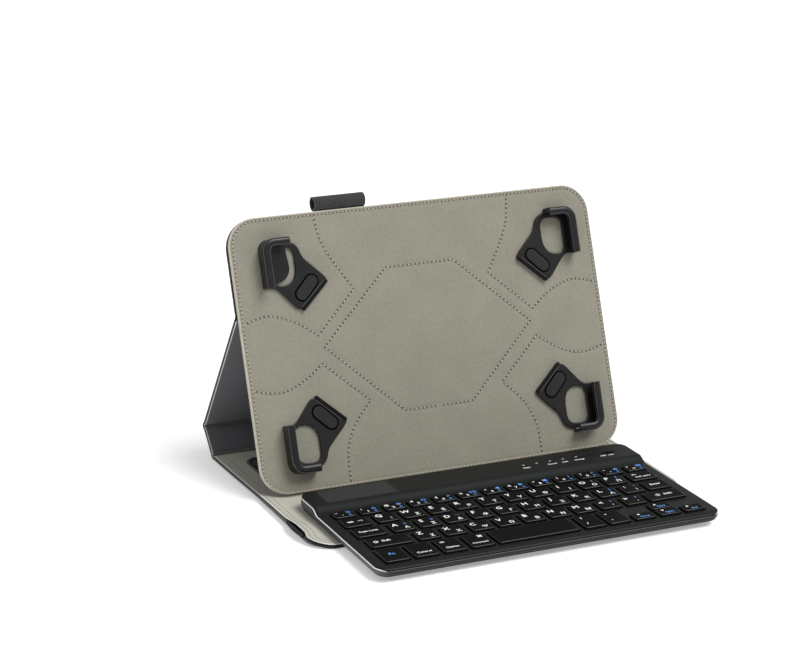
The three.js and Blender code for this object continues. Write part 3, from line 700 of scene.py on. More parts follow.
def moulded(name, colour, roughness, grain, depth, flat=False, spread=0.2, gloss=0.3):
    """Plastic from a grained mould; grain is the grain's size and depth its relief."""
    look = Look(name, roughness, gloss=gloss)
    pits = look.cells(grain, flat=flat)
    wear = look.noise(14, detail=4, flat=flat)
    look.colours(wear, *shades(colour, spread))
    look.rough(wear, roughness - 0.06, roughness + 0.06)
    return look.relief(pits, depth).material


def side_fade(look, first, last):
    """0 along the keyboard's front and rear, rising to 1 from first to last inside its two ends; it places the
    painted light on the keyboard's wall and the painted highlight on its edge.
    """
    across = look.node("SeparateXYZ", {"Vector": look.place()}).outputs["X"]
    out = look.maths("ABSOLUTE", look.maths("SUBTRACT", across, CASE_MIDDLE * MM))
    return look.range(out, (CASE_HALF - first) * MM, (CASE_HALF - last) * MM)


def case_side_painted_light():
    """Grained wall of the keyboard with painted light: grey at its ends, where light falls, and black along its
    front and rear.
    """
    look = Look("case_side_painted_light", 0.5, gloss=0.2)
    look.colours(side_fade(look, 8, 1.5), (0.016, 0.017, 0.018), (0.078, 0.080, 0.088))
    return look.relief(look.cells(0.35), 0.06).material


def painted_edge_highlight():
    """Painted highlight: a bright line along the keyboard's ends that fades out where the case's corners turn to
    the front and rear.
    """
    look = Look("painted_highlight_edge", 0.3, gloss=0.3)
    return look.colours(side_fade(look, 6, 2), (0.010, 0.010, 0.011), (0.92, 0.92, 0.93)).material


def metal(name, colour, roughness):
    """Metal brushed along X."""
    look = Look(name, roughness, metallic=1)
    brushed = look.noise(1.5, detail=4, scale=(1, 12, 12))
    look.colours(brushed, *shades(colour, 0.12))
    return look.rough(brushed, roughness - 0.08, roughness + 0.1).material


def board():
    """Grey pressed board with paper fibres."""
    look = Look("greyboard", 0.92)
    fibres = look.noise(0.8, detail=5, roughness=0.7)
    look.colours(fibres, (0.09, 0.085, 0.075), (0.22, 0.205, 0.18))
    return look.relief(fibres, 0.1).material


def circuit():
    """Green lacquered board with faint copper tracks."""
    look = Look("circuit_board", 0.35, coat_weight=0.3)
    tracks = look.bands(1.6, flat=False, wobble=3, profile="TRI")
    look.colours(look.range(tracks, 0.55, 0.7), (0.008, 0.05, 0.018), (0.03, 0.12, 0.045))
    return look.relief(tracks, 0.03).material


def film():
    """Clear film with a row of domes pressed into it."""
    look = Look("dome_film", 0.3, transmission_weight=0.2)
    domes = look.cells(9)
    look.colours(look.range(domes, 0.2, 0.3), (0.5, 0.5, 0.48), (0.72, 0.72, 0.69))
    return look.relief(domes, 0.2).material


LEATHER = saffiano()
PRESSED = smooth_leather()
FACING = suede("microfibre", (0.236, 0.226, 0.180))
# Paler cloth on the facing's rounded rim: a painted highlight.
FACING_EDGE_HIGHLIGHT = suede("microfibre_edge_highlight", (0.46, 0.43, 0.35))
LIGHT_LINING = lining_cloth("light_lining", (0.46, 0.445, 0.38))
LINING_EDGE = lining_cloth("lining_edge", (0.62, 0.62, 0.60))
DARK_LINING = lining_cloth("dark_lining", (0.112, 0.113, 0.124))
BACKING = lining_cloth("backing_cloth", (0.025, 0.025, 0.027), weave=0.8)
ELASTIC = webbing("elastic_web", 0.062, 0.3)
TAB_WEB = webbing("tab_web", 0.02, 0.06)
GREY_BOARD = board()
CLIP = moulded("clip_plastic", (0.009, 0.009, 0.0094), 0.30, 0.16, 0.008, gloss=0.3)
CLIP_BLACK = plain("clip_black", (0.004, 0.004, 0.0042), 0.35, gloss=0.15)
CLIP_RUBBER = moulded("clip_rubber", (0.014, 0.014, 0.0147), 0.6, 0.5, 0.04, gloss=0.2)
# Painted highlight for the clips' glint strips.
CLIP_GLINT = plain("clip_glint", (0.06, 0.06, 0.063), 0.3)
DOCK = moulded("dock_plastic", (0.05, 0.052, 0.056), 0.55, 0.3, 0.02, flat=True)
CASE = moulded("case_plastic", (0.0075, 0.0085, 0.0086), 0.45, 0.30, 0.028, spread=0.12, gloss=0.16)
KEYCAP = moulded("key_plastic", (0.0052, 0.0058, 0.0056), 0.42, 0.22, 0.014, spread=0.12, gloss=0.02)
# Lighter key bevel: a painted highlight.
KEY_EDGE_HIGHLIGHT = plain("key_edge_highlight", (0.012, 0.0125, 0.013), 0.33, gloss=0.3)
# Darker key flanks and sides: painted shade.
KEY_SIDE_SHADE = plain("key_side_shade", (0.003, 0.0032, 0.0033), 0.5, gloss=0.05)
DOCK_BORDER = plain("dock_border", (0.11, 0.11, 0.115), 0.5)
# Near-black painted shade for grooves and slots.
GROOVE_SHADE = plain("groove_painted_shade", (0.0015, 0.0015, 0.0015), 0.7, gloss=0)
LABEL = moulded("blank_label", (0.027, 0.028, 0.029), 0.5, 0.6, 0.01, gloss=0.2)
WHITE_INK = plain("white_ink", (0.95, 0.95, 0.96), 0.55)
BLUE_INK = plain("blue_ink", (0.13, 0.36, 0.85), 0.55)
FACING_THREAD = thread("facing_thread", (0.43, 0.41, 0.34))
# Dark discs standing for needle holes: painted shade.
NEEDLE_HOLE_SHADE = plain("needle_hole_shade", (0.012, 0.011, 0.009), 0.9)
LINING_THREAD = thread("lining_thread", (0.42, 0.40, 0.34))
BLACK_THREAD = thread("black_thread", (0.02, 0.02, 0.021))
STEEL = metal("magnet_steel", (0.5, 0.5, 0.51), 0.3)
PORT_STEEL = metal("port_steel", (0.34, 0.34, 0.35), 0.3)
FOIL = metal("cell_foil", (0.42, 0.43, 0.44), 0.35)
CIRCUIT = circuit()
FILM = film()
LENS = plain("lens_clear", (0.55, 0.6, 0.62), 0.15)
# Keyboard wall painted grey at its ends where light falls: painted light.
CASE_SIDE_PAINTED_LIGHT = case_side_painted_light()
# Painted highlight along the keyboard's edge line, dark at the front and rear.
PAINTED_EDGE_HIGHLIGHT = painted_edge_highlight()


# ---------------------------------------------------------------- folds
def near(s, place, reach):
    """1 at a place along s, falling to 0 within about reach of it."""
    return np.exp(-(((s - place) / reach) ** 2))


def fold_lines(hinge):
    """Extra rows where a cover bends."""
    return np.linspace(hinge - 2 * FOLD_REACH, hinge + 2 * FOLD_REACH, 27)


def bend(piece):
    """Bakes a piece's transform into its mesh."""
    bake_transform(piece)
    return piece


def finish_bent(piece, nodes):
    """Bakes its transform and stands for its CAD nodes."""
    bend(piece)
    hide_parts(*nodes)


# ---------------------------------------------------------------- leather
SEAM_INSET = 3.0  # of the stitched groove on the outside
PRESSED_IN = 0.22  # depth of that groove and of the lines along the folds


def leather_cover(name, fold, ends, radii, nodes, rim=RIM_TOP):
    """A tray of leather that wraps the boards' edges and bends at one fold."""
    hinge = fold.hinge
    plan = Plan(COVER_WIDTH, *ends, radii, step=4, rows=fold_lines(hinge))

    def rim_height(height):
        def level(x, s):
            grown = 1 + (rim / RIM_TOP - 1) * smooth((s - hinge) / FOLD_REACH)
            up = (height - SKIN_HALF) * grown * (1 - 0.65 * near(s, hinge, 2.5))
            for end, radius in zip(ends, radii):
                if not radius:
                    up = np.where((np.abs(s - end) < 0.5) & (plan.depth(x, s) > 0.95), 0, up)
            return SKIN_HALF + up
        return level

    def outside(depth=0):
        def level(x, s):
            pressed = PRESSED_IN * (near(s, hinge - 6, 0.9) + near(s, hinge + 6, 0.9))
            return -SKIN_HALF + depth + pressed
        return level

    edge = [(1.05, SKIN_HALF), (1.0, rim_height(1.5)), (0.85, rim_height(1.72))]
    edge += [(0.5, rim_height(RIM_TOP)), (0.15, rim_height(1.7)), (0, rim_height(1.3)), (0, 0.2)]
    edge += [(0.12, -0.15), (0.4, outside(0.05)), (0.9, outside()), (2.1, outside()), (2.7, outside(0.12))]
    edge += [(SEAM_INSET, outside(PRESSED_IN)), (3.3, outside(0.12)), (3.9, outside()), (4.6, outside())]
    points, faces, kinds = shell(plan, edge)
    rolled_loops = 10
    place = curled(folded(fold)) if fold is TABLE_FOLD else folded(fold)
    piece = make_piece(name, points, faces, [LEATHER, PRESSED], place,
                       indices=between(kinds, 0, rolled_loops))
    finish_bent(piece, nodes)

    if any(radii):
        lines = [open_row(plan, SEAM_INSET)]
    else:
        x = COVER_WIDTH / 2 - SEAM_INSET
        lines = [[(side * x, ends[0] + 0.5), (side * x, ends[1] - 0.5)] for side in (1, -1)]
    lines = [even_steps(line, 1) for line in lines]
    sew(name, lines, PRESSED_IN - SKIN_HALF, place, lambda made: bend(made), BLACK_THREAD,
        thread_radius=0.26, share=0.8, side=-1)


def leather_covers():
    leather_cover("leather_front", TABLE_FOLD, (COVER_FRONT, SPINE_SEAM), (COVER_RADIUS, 0),
                  ["front_cover_skin", "spine_skin"])
    leather_cover("leather_back_lower", SPINE_FOLD, (SPINE_SEAM, SPINE_WIDTH + KICK_SEAM), (0, 0),
                  ["spine_skin", "kick_panel_skin"])
    leather_cover("leather_back_upper", CREASE_FOLD, (KICK_SEAM, KICK_LENGTH + PANEL_TOP),
                  (0, PANEL_RADIUS + 1), ["kick_panel_skin", "upper_cover_skin"], rim=UPPER_RIM_TOP)


# ---------------------------------------------------------------- linings
LINING_WIDTH = COVER_WIDTH - 0.8
LIGHT_LINING_END = -3.2  # the light lining stops here, and the dark one starts
TAB_MIDDLE, TAB_HALF = -153.0, 14.0  # along the left edge, from the table hinge
TAB_WAVE = 3.0  # how far the lining gives way there


def lining_loops(hinge):
    """A lining's soft edge from top to underside, and the gutter in which it is pressed down."""
    def level(height, share):
        return lambda x, s: height - share * near(s, hinge, 2.5) + np.zeros(x.shape)
    rims = [(1.2, 0), (0.5, -0.03), (0.1, -0.14), (0, -0.3)]
    return [(inset, level(LINING[1] + drop, 1.65)) for inset, drop in rims] + [
        (inset, level(LINING[0] + lift, 1.45)) for inset, lift in ((0, 0.12), (0.15, 0), (1.4, 0))]


def tab_wave(x, s):
    """How far the lining gives way to the right beside the woven tab."""
    return TAB_WAVE * smooth((-x - 105) / 22) * np.exp(-(((s - TAB_MIDDLE) / TAB_HALF) ** 4))


def light_lining():
    """Light cloth on the front cover, with a wave in its left edge where the woven tab passes."""
    tab_rows = np.linspace(TAB_MIDDLE - TAB_HALF - 6, TAB_MIDDLE + TAB_HALF + 6, 25)
    plan = Plan(LINING_WIDTH, COVER_FRONT + 0.4, LIGHT_LINING_END, (COVER_RADIUS - 0.4, 0), step=4,
                rows=np.concatenate([tab_rows, np.linspace(-9, LIGHT_LINING_END, 8)]))
    points, faces, kinds = shell(plan, lining_loops(0))
    points[:, 0] += tab_wave(points[:, 0], points[:, 1])
    place = curled(through(COVER))
    piece = make_piece("lining_front", points, faces, [LIGHT_LINING, LINING_EDGE], place,
                       indices=between(kinds, 1, 5))
    finish_piece(piece, "front_cover", ["front_cover_lining"])

    lines = [open_row(plan, inset) for inset in (2.6, 6.4)]
    for line in lines:
        line[:, 0] += tab_wave(*line.T)
    sew("lining_front", lines, LINING[1] - 0.02, place, riding("front_cover"), LINING_THREAD,
        NEEDLE_HOLE_SHADE, thread_radius=0.3, hole_radius=0.42, share=0.55)


def dark_lining(name, fold, front, rear, nodes):
    """Dark cloth from front to rear, across one fold."""
    plan = Plan(LINING_WIDTH, front, rear, step=4, rows=fold_lines(fold.hinge))
    points, faces, kinds = shell(plan, lining_loops(fold.hinge))
    piece = make_piece(name, points, faces, [DARK_LINING, LINING_EDGE], folded(fold),
                       indices=between(kinds, 1, 5))
    finish_bent(piece, nodes)


def dark_linings():
    """Dark cloth from the front cover's rear end over the spine and up the kick panel."""
    dark_lining("lining_spine_front", TABLE_FOLD, LIGHT_LINING_END, SPINE_SEAM, ["spine_lining"])
    dark_lining("lining_kick", SPINE_FOLD, SPINE_SEAM, SPINE_WIDTH + KICK_LENGTH - 1.5,
                ["spine_lining", "kick_panel_lining"])


# ---------------------------------------------------------------- stitching
def spline_through(corners, step=0.4):
    """Points at even steps along a smooth curve through a few corners."""
    p = np.asarray([corners[0], *corners, corners[-1]], float)
    dense = []
    for a, b, c, d in zip(p, p[1:], p[2:], p[3:]):
        t = np.linspace(0, 1, 40, endpoint=False)[:, None]
        dense.append(0.5 * (2 * b + (c - a) * t + (2 * a - 5 * b + 4 * c - d) * t**2
                            + (3 * b - a - 3 * c + d) * t**3))
    return even_steps(np.concatenate([*dense, p[-1:]]), step)


def even_steps(line, step):
    """The same line with its points step apart."""
    line = np.asarray(line, float)
    gaps = np.hypot(*np.diff(line, axis=0).T)
    length = np.concatenate([[0], np.cumsum(gaps)])
    at = np.linspace(0, length[-1], max(2, round(length[-1] / step) + 1))
    return np.stack([np.interp(at, length, line[:, k]) for k in (0, 1)], 1)


HOLE_RIM = 0.14  # how far a needle hole's dark disc of painted shade stands above the groove it is in
THREAD_RINGS = [(-1, 0.35, 0), (-0.75, 0.85, 0.5), (0, 1, 1), (0.75, 0.85, 0.5), (1, 0.35, 0)]


def stitches(line, level, thread_radius, share, hole_radius=0, pitch=3.05, side=1):
    """Threads and needle holes along a line at one level; side -1 sews them underneath. The holes are dark discs
    of painted shade.
    """
    marks = even_steps(line, pitch)
    threads, holes = [], []
    ring = np.linspace(0, 2 * math.pi, 8, endpoint=False)
    for a, b in zip(marks, marks[1:]):
        way = (b - a) / max(np.hypot(*(b - a)), 1e-6)
        beside = np.array([-way[1], way[0]])
        middle, half = (a + b) / 2, np.hypot(*(b - a)) * share / 2
        rings = []
        for along, size, rise in THREAD_RINGS:
            centre = middle + way * along * half
            for angle in ring[::2] + math.pi / 4:
                across = math.cos(angle) * size * thread_radius
                up = (0.15 + 0.6 * rise + math.sin(angle) * size) * thread_radius
                rings.append((*(centre + beside * across), level + side * up))
        threads.append((rings, tube_faces(4, len(THREAD_RINGS))))
    for mark in marks[:-1]:
        spots = [(*(mark + hole_radius * np.array([math.cos(a), math.sin(a)])),
                  level + side * HOLE_RIM) for a in ring]
        spots.append((*mark, level - side * 0.25))
        holes.append((spots, [(k, (k + 1) % 8, 8) for k in range(8)]))
    return joined(threads), joined(holes)


def sew(name, lines, level, place, attach, thread_look, hole_look=None, **sizes):
    """All stitches of one seam colour: a piece of thread and one of holes, given to attach."""
    rows = [stitches(line, level, **sizes) for line in lines]
    attach(make_piece(f"{name}_thread", *joined([row[0] for row in rows]), thread_look, place))
    if hole_look:
        attach(make_piece(f"{name}_holes", *joined([row[1] for row in rows]), hole_look, place))


def riding(body):
    return lambda piece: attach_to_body(piece, body)


def rounded_row(plan, inset):
    """The outline of a plan at an inset, as a closed line of points."""
    x, s = plan.at(inset)
    loop = [(x[r, c], s[r, c]) for r, c in plan.edge()]
    return np.array(loop + loop[:1])


def open_row(plan, inset, margin=3):
    """The outline of a plan at an inset without its straight cut, from one side to the other."""
    line = rounded_row(plan, inset)[:-1]
    cut = [place for place, radius in zip(plan.ends, plan.radii) if radius == 0][0]
    away = np.abs(line[:, 1] - cut) > margin
    start = next(i for i in range(len(line)) if away[i] and not away[i - 1])
    turned = np.roll(np.arange(len(line)), -start)
    return line[turned[away[turned]]]


# ---------------------------------------------------------------- tablet panel
FACING_TOP = PANEL_HIGH[2]
QUILT_DIP = 0.38  # how far the sewn lines draw the cloth in
EDGE_ROW = 2.3  # the outer stitched row's inset from the panel's sides and top
FOOT_ROW = 0.9  # and from its foot


def quilting():
    """Sewn lines of the facing, drawn from the middle of its field with x to the right and y up."""
    half = [
        [(0, 47), (24.6, 47), (75, 0), (24.7, -48), (0, -48)],
        [*spline_through([(70.3, 86.2), (66, 65), (49, 35.5)]), (78, 8)],
        spline_through([(78, 8), (93, 18.5), (108, 24), (118, 23.5), (128, 20.6)]),
        [*spline_through([(69.7, -88.3), (68.5, -69), (61.5, -53), (48, -38.4)]), (78, -10.5)],
        spline_through([(78, -10.5), (91, -19.5), (105.5, -25.3), (117, -25), (128, -21.9)]),
    ]
    return [[(side * x, FIELD_MIDDLE + y) for x, y in line] for line in half for side in (1, -1)]


CLIP_LOW, CLIP_HIGH = local_box("clip_bottom_left", PANEL)[0], local_box("clip_top_right", PANEL)[1]
CLIPS_MIDDLE = (CLIP_LOW[:2] + CLIP_HIGH[:2]) / 2
CLIP_POST = (81.5, 39.5)  # the upper right clip's post, from the middle of the four clips
CLIP_TRAVEL = JOINTS["clip_top_right_stretch"]["range_m"][1] / MM
SLIT_HALF = 2.6  # half the width of a strap's slit in the cloth
CORNERS = {"top_left": (-1, 1), "top_right": (1, 1), "bottom_left": (-1, -1), "bottom_right": (1, -1)}


def slit_distance(x, s):
    """Signed distance to the nearest strap slit, and the way away from it."""
    best, way = np.full(x.shape, 1e9), np.zeros((2, *x.shape))
    for side_x, side_y in CORNERS.values():
        start = CLIPS_MIDDLE + np.array([side_x, side_y]) * CLIP_POST
        along = np.array([side_x, side_y]) * math.sqrt(0.5)
        reach = np.clip((x - start[0]) * along[0] + (s - start[1]) * along[1], 0, CLIP_TRAVEL)
        dx, ds = x - start[0] - reach * along[0], s - start[1] - reach * along[1]
        distance = np.hypot(dx, ds)
        closer = distance - SLIT_HALF < best
        best = np.where(closer, distance - SLIT_HALF, best)
        way = np.where(closer, np.stack([dx, ds]) / np.maximum(distance, 1e-6), way)
    return best, way


def panel_facing():
    """Suede-like cloth wrapped round the board, drawn in along its sewn lines."""
    plan = Plan(PANEL_WIDTH, PANEL_FOOT, PANEL_TOP, (PANEL_RADIUS, PANEL_RADIUS), step=1.3)
    sewn = Plan(PANEL_WIDTH - 2 * EDGE_ROW, PANEL_FOOT + FOOT_ROW, PANEL_TOP - EDGE_ROW,
                (PANEL_RADIUS - EDGE_ROW,) * 2, step=1.3)
    edge_row = rounded_row(sewn, 0)
    dense = np.concatenate([even_steps(line, 0.5) for line in [*quilting(), edge_row]])
    tree = KDTree(len(dense))
    for number, (x, s) in enumerate(dense):
        tree.insert((x, s, 0), number)
    tree.balance()

    def top(x, s):
        distance = np.array([tree.find((a, b, 0))[2] for a, b in zip(x.ravel(), s.ravel())])
        return FACING_TOP - QUILT_DIP * np.exp(-((distance.reshape(x.shape) / 1.25) ** 1.6))

    holes = slit_distance(*plan.cell_middles(1.8))[0] < 0
    loops = [(1.8, top), (1.25, FACING_TOP - 0.1), (0.75, FACING_TOP - 0.07), (0.25, FACING_TOP - 0.35),
             (0, FACING_TOP - 0.8), (0, 3.4), (0.12, 3.05), (0.4, 2.9), (1.0, 2.9), (1.0, 5.1), (1.3, 5.3)]
    points, faces, kinds = shell(plan, loops, holes=holes)
    distance, way = slit_distance(points[:, 0], points[:, 1])
    close = np.abs(distance) < 0.75
    points[close, :2] -= (distance * way).T[close]
    # The facing's rounded rim takes the paler cloth, a painted highlight.
    add("facing", (points, faces), [FACING, FACING_EDGE_HIGHLIGHT], PANEL, "tablet_panel", ["panel_facing"],
        "microfibre", indices=between(kinds, 2, 5))

    sunk = FACING_TOP - 0.24
    sew("quilting", quilting(), sunk, through(PANEL), riding("tablet_panel"), FACING_THREAD,
        NEEDLE_HOLE_SHADE, thread_radius=0.34, hole_radius=0.66, share=0.5)
    sew("facing_edge", [edge_row], sunk, through(PANEL), riding("tablet_panel"), FACING_THREAD,
        NEEDLE_HOLE_SHADE, thread_radius=0.36, hole_radius=0.44, share=0.62, pitch=2.7)


# ---------------------------------------------------------------- corner clips
PLATE_LOW, PLATE_TOP = 6.35, 8.0
WALL_X, WALL_Y = CLIP_HIGH[:2] - CLIPS_MIDDLE
WALL_RADIUS = 9
ARM_END = (94, 44.4)  # where the two arms of the wall stop
CLIP_PLATE = [(69, 46.5), (88, 29), (91.5, 28.5, 94, 31.5), (101.5, 40.5), (104, 43.5, 106.5, ARM_END[1]),
              (WALL_X, ARM_END[1]), (WALL_X, WALL_Y - WALL_RADIUS),
              (WALL_X, WALL_Y, WALL_X - WALL_RADIUS, WALL_Y), (ARM_END[0], WALL_Y), (94, 74),
              (86.5, 73, 85, 65.5), (84, 62.5, 82, 60.5), (71.5, 50)]
CLIP_RING = [(96, 70), (89.8, 70, 89.8, 63.5), (89.8, 57), (90.2, 45.5, 100, 45.5),
             (105.7, 45.5, 105.7, 51.5), (105.7, 63.5), (105.7, 70, 99.5, 70), (96, 70)]
# The wall and its lip in section: how far inwards, and how high.
HOOK_SECTION = [(0.35, 6.2), (0, 7), (0, 14.4), (0.3, 15.8), (1.1, 16.6), (2.2, 16.8), (3.6, 16.8),
                (4.7, 16.5), (5.1, 15.9), (4.8, 15.3), (4, 15), (3.1, 14.8), (2.4, 14.2), (2, 13.2),
                (1.9, 8), (1.9, 6.2)]
# Painted highlight lines along the lip's two edges: how far inwards, and how high.
LIP_HIGHLIGHTS = [(0.42, 16.05), (4.95, 16.2)]
EDGE_SECTION = [(-0.16, -0.16), (0.16, -0.16), (0.16, 0.16), (-0.16, 0.16)]
# A dark sheet of the clip's plastic partly fills the upper left clip's ring.
CLIP_WEB = [(106.5, 71), (95.3, 71), (93.9, 57), (94.5, 50.5, 100, 48.3), (106.5, 46.5)]
PAD_MIDDLE, PAD_HALF, PAD_RADIUS = (84, 42.5), 5.5, 4.0


def hook_path():
    """The wall's L from the side arm's end to the top arm's: points and the way inwards."""
    path = [((WALL_X, y), (-1, 0)) for y in np.linspace(ARM_END[1], WALL_Y - WALL_RADIUS, 12)]
    for angle in np.linspace(0, math.pi / 2, 16)[1:-1]:
        way = np.array([math.cos(angle), math.sin(angle)])
        centre = np.array([WALL_X - WALL_RADIUS, WALL_Y - WALL_RADIUS])
        path.append((tuple(centre + WALL_RADIUS * way), tuple(-way)))
    return path + [((x, WALL_Y), (0, -1)) for x in np.linspace(WALL_X - WALL_RADIUS, ARM_END[0], 8)]


def object_of(points, faces):
    mesh = bpy.data.meshes.new("part")
    mesh.from_pydata([tuple(point) for point in points], [], [list(face) for face in faces])
    return shown("part", mesh)


def melted(parts, voxel, smoothing):
    """Several overlapping closed solids as one moulding with small fillets."""
    whole = outward(object_of(*joined(parts)))
    remesh = whole.modifiers.new("melt", "REMESH")
    remesh.mode = "VOXEL"
    remesh.voxel_size = voxel
    soften = whole.modifiers.new("soften", "SMOOTH")
    soften.factor, soften.iterations = 0.5, smoothing
    return arrays_of(whole)


def bar_part(centre, slant, half_length, radius, low, high, bevel):
    """A flat bar with round ends, which rises by its slant to the right."""
    return plate_part([capsule_outline(centre, (1, slant), half_length, radius)], low, high, bevel)


def clip_moulding():
    """The upper right clip, from the middle of the four."""
    plate = plate_part([drawn(CLIP_PLATE), drawn(CLIP_RING)[:-1]], PLATE_LOW, PLATE_TOP, 0.35)
    hook = sweep(hook_path(), HOOK_SECTION)
    post = bar_part(CLIP_POST, 0, 0.01, 2.4, 5.0, PLATE_LOW + 0.6, 0.1)
    return melted([plate, hook, post], 0.42, 4)


def cornered(points, faces, side):
    """A part of the upper right clip carried to another corner of the panel."""
    points = np.asarray(points, float).copy()
    points[:, :2] = CLIPS_MIDDLE + points[:, :2] * side
    return points, [face[::-1] for face in faces] if side[0] * side[1] < 0 else faces


def clips():
    moulding = clip_moulding()
    # The pad's groove is a flat black ring of painted shade round the grip.
    groove = bar_part(PAD_MIDDLE, -1, PAD_HALF, PAD_RADIUS + 1.0, PLATE_TOP - 0.5, PLATE_TOP + 0.07, 0.03)
    grip = bar_part(PAD_MIDDLE, -1, PAD_HALF, PAD_RADIUS, PLATE_TOP - 0.2, PLATE_TOP + 0.62, 0.28)
    bar = bar_part((79.1, 37.0), -0.92, 12.1, 1.0, PLATE_LOW + 0.2, 8.9, 0.3)
    # Painted highlights: a glint strip beside the bar and lines along the lip's edges.
    glint = bar_part((80.3, 38.2), -0.92, 11.0, 0.24, PLATE_TOP - 0.5, PLATE_TOP + 0.1, 0.05)
    edges = joined([sweep(hook_path(), [(inward + a, height + b) for a, b in EDGE_SECTION])
                    for inward, height in LIP_HIGHLIGHTS])
    web = plate_part([drawn(CLIP_WEB)], PLATE_LOW + 0.5, PLATE_TOP - 0.1, 0.2)
    shapes = [("moulding", moulding, CLIP), ("grip", grip, CLIP_RUBBER), ("groove", groove, GROOVE_SHADE),
              ("bar", bar, CLIP_BLACK), ("glint", glint, CLIP_GLINT), ("edges", edges, CLIP_GLINT),
              ("web", web, CLIP)]
    for corner, side in CORNERS.items():
        body = f"clip_{corner}"
        stands_for = {"moulding": [body], "grip": [f"clip_pad_{corner}"]}
        for name, shape, look in shapes:
            if name == "web" and corner != "top_left":
                continue
            add(f"clip_{name}_{corner}", cornered(*shape, side), look, PANEL, body,
                stands_for.get(name, ()), "clip_rubber" if name == "grip" else "clip_plastic")


# ---------------------------------------------------------------- woven elastic
RIB_PITCH = 1.25
WEB = 0.9  # the web's thickness


def pen_loop():
    """A ribbed tube of woven elastic, with the flat tongue that is sewn into the panel's edge."""
    low, high = local_box("pen_loop", PANEL)
    middle, reach = (low + high) / 2, (high - low) / 2 - 0.1
    around = np.linspace(0, 2 * math.pi, 48, endpoint=False)
    places = np.arange(low[0], high[0] + 0.01, RIB_PITCH / 8)

    def ring(x, grow):
        across, out = reach[1] + grow, reach[2] + grow
        return [(x, middle[1] + across * math.cos(a), middle[2] + out * math.sin(a)) for a in around]
    rings = [ring(x, 0.2 * math.cos(2 * math.pi * (x - low[0]) / RIB_PITCH) - 0.1) for x in places]
    rings += [ring(x, -WEB) for x in places[::-1]]
    points = [point for ring in rings for point in ring]
    faces = side_faces(len(around), len(rings), closed=True)
    piece = outward(make_piece("pen_loop_web", points, faces, ELASTIC, through(PANEL)))
    finish_piece(piece, "tablet_panel", ["pen_loop"])

    seam = rectangle(low[0], high[0], PANEL_TOP - 0.9, PANEL_TOP + 0.9, 0, 0.3)
    add("pen_loop_tongue", plate_part([seam], 1.9, 3.3, 0.15), ELASTIC, PANEL, "tablet_panel",
        slot="elastic_web")


def edge_tab():
    """Short ribbed web folded round the front cover's left edge."""
    low, high = local_box("edge_tab", COVER)
    places = np.arange(low[1], high[1] + 0.01, RIB_PITCH / 6)
    turn = np.linspace(-math.pi / 2, math.pi / 2, 14)
    half_height, middle = (high[2] - low[2]) / 2, (high[2] + low[2]) / 2
    points = []
    for s in places:
        along = (s - low[1]) / (high[1] - low[1])
        rib = 0.09 * math.cos(2 * math.pi * (s - low[1]) / RIB_PITCH)
        bulge = (high[0] - low[0]) * max(0.03, (4 * along * (1 - along)) ** 0.7) + rib
        points += [(high[0] - bulge * math.cos(a) ** 0.6, s, middle + half_height * math.sin(a))
                   for a in turn]
    faces = tube_faces(len(turn), len(places))
    piece = outward(make_piece("edge_tab_web", points, faces, TAB_WEB, curled(through(COVER))))
    finish_piece(piece, "front_cover", ["edge_tab"])


# ---------------------------------------------------------------- dock pad
def dock_pad():
    """Thin moulded pad with a raised border, where the keyboard is stowed."""
    low, high = local_box("dock_pad", COVER)
    plan = Plan(high[0] - low[0], low[1], high[1], (10, 10), step=6)
    top = high[2]
    loops = [(3.2, top - 0.25), (3.0, top - 0.32), (2.4, top - 0.32), (2.2, top - 0.05), (2.0, top),
             (0.5, top), (0.15, top - 0.08), (0, top - 0.25), (0, low[2] + 0.1), (0.2, low[2])]
    points, faces, kinds = shell(plan, loops)
    # The pad's sunk groove takes painted shade; the raised border is lighter.
    looks = np.where(kinds < 0, 0, np.where(kinds < 3, 1, 2))
    add("dock_tray", (points, faces), [DOCK, GROOVE_SHADE, DOCK_BORDER], COVER, "front_cover", ["dock_pad"],
        "dock_plastic", indices=looks)


# ---------------------------------------------------------------- keyboard
BULGE = CASE_HIGH[2]  # height of the battery bulge
DECK = 9.8  # height of the face round the keys
STEP = (-53.5, -45.5)  # where the deck rises to the battery bulge
PARTING = 5.95  # height at which the top shell meets the tray
TRAY_BOTTOM = 3.15
WELL_GAP = 0.35  # round each key
KEY_TOP = 11.3

# Rows of keys: front-to-back middle and depth.
ROWS = {"number": (-61.2, 10.6), "upper": (-76.2, 14.2), "home": (-94.2, 14.2), "lower": (-112.4, 14.2),
        "bottom": (-133.3, 20.4), "arrow_rear": (-127.9, 9.6), "arrow_front": (-138.7, 9.6)}
# Even rows: the node, its row, first middle, pitch, width and the keys' legends.
EVEN_ROWS = [
    ("number_row_keys", "number", -100.4, 17.217, 14.4,
     ["~`", "!1", "@2", "#3", "$4", "%5", "^6", "&7", "*8", "(9", ")0", "_-", "+="]),
    ("upper_letter_keys", "upper", -78.4, 17.85, 14.8,
     ["Q:", "WΣ", "EΕ", "RΡ", "TΤ", "YΥ", "UΘ", "IΙ", "OΟ", "PΠ"]),
    ("home_letter_keys", "home", -75.8, 17.9, 14.8,
     ["AΑ", "SΣ", "DΔ", "FΦ", "GΓ", "HΗ", "JΞ", "KΚ", "LΛ", ":;"]),
    ("lower_letter_keys", "lower", -67.1, 17.9, 14.8,
     ["ZΖ", "XΧ", "CΨ", "VΩ", "BΒ", "NΝ", "MΜ", "<,", ">."]),
]
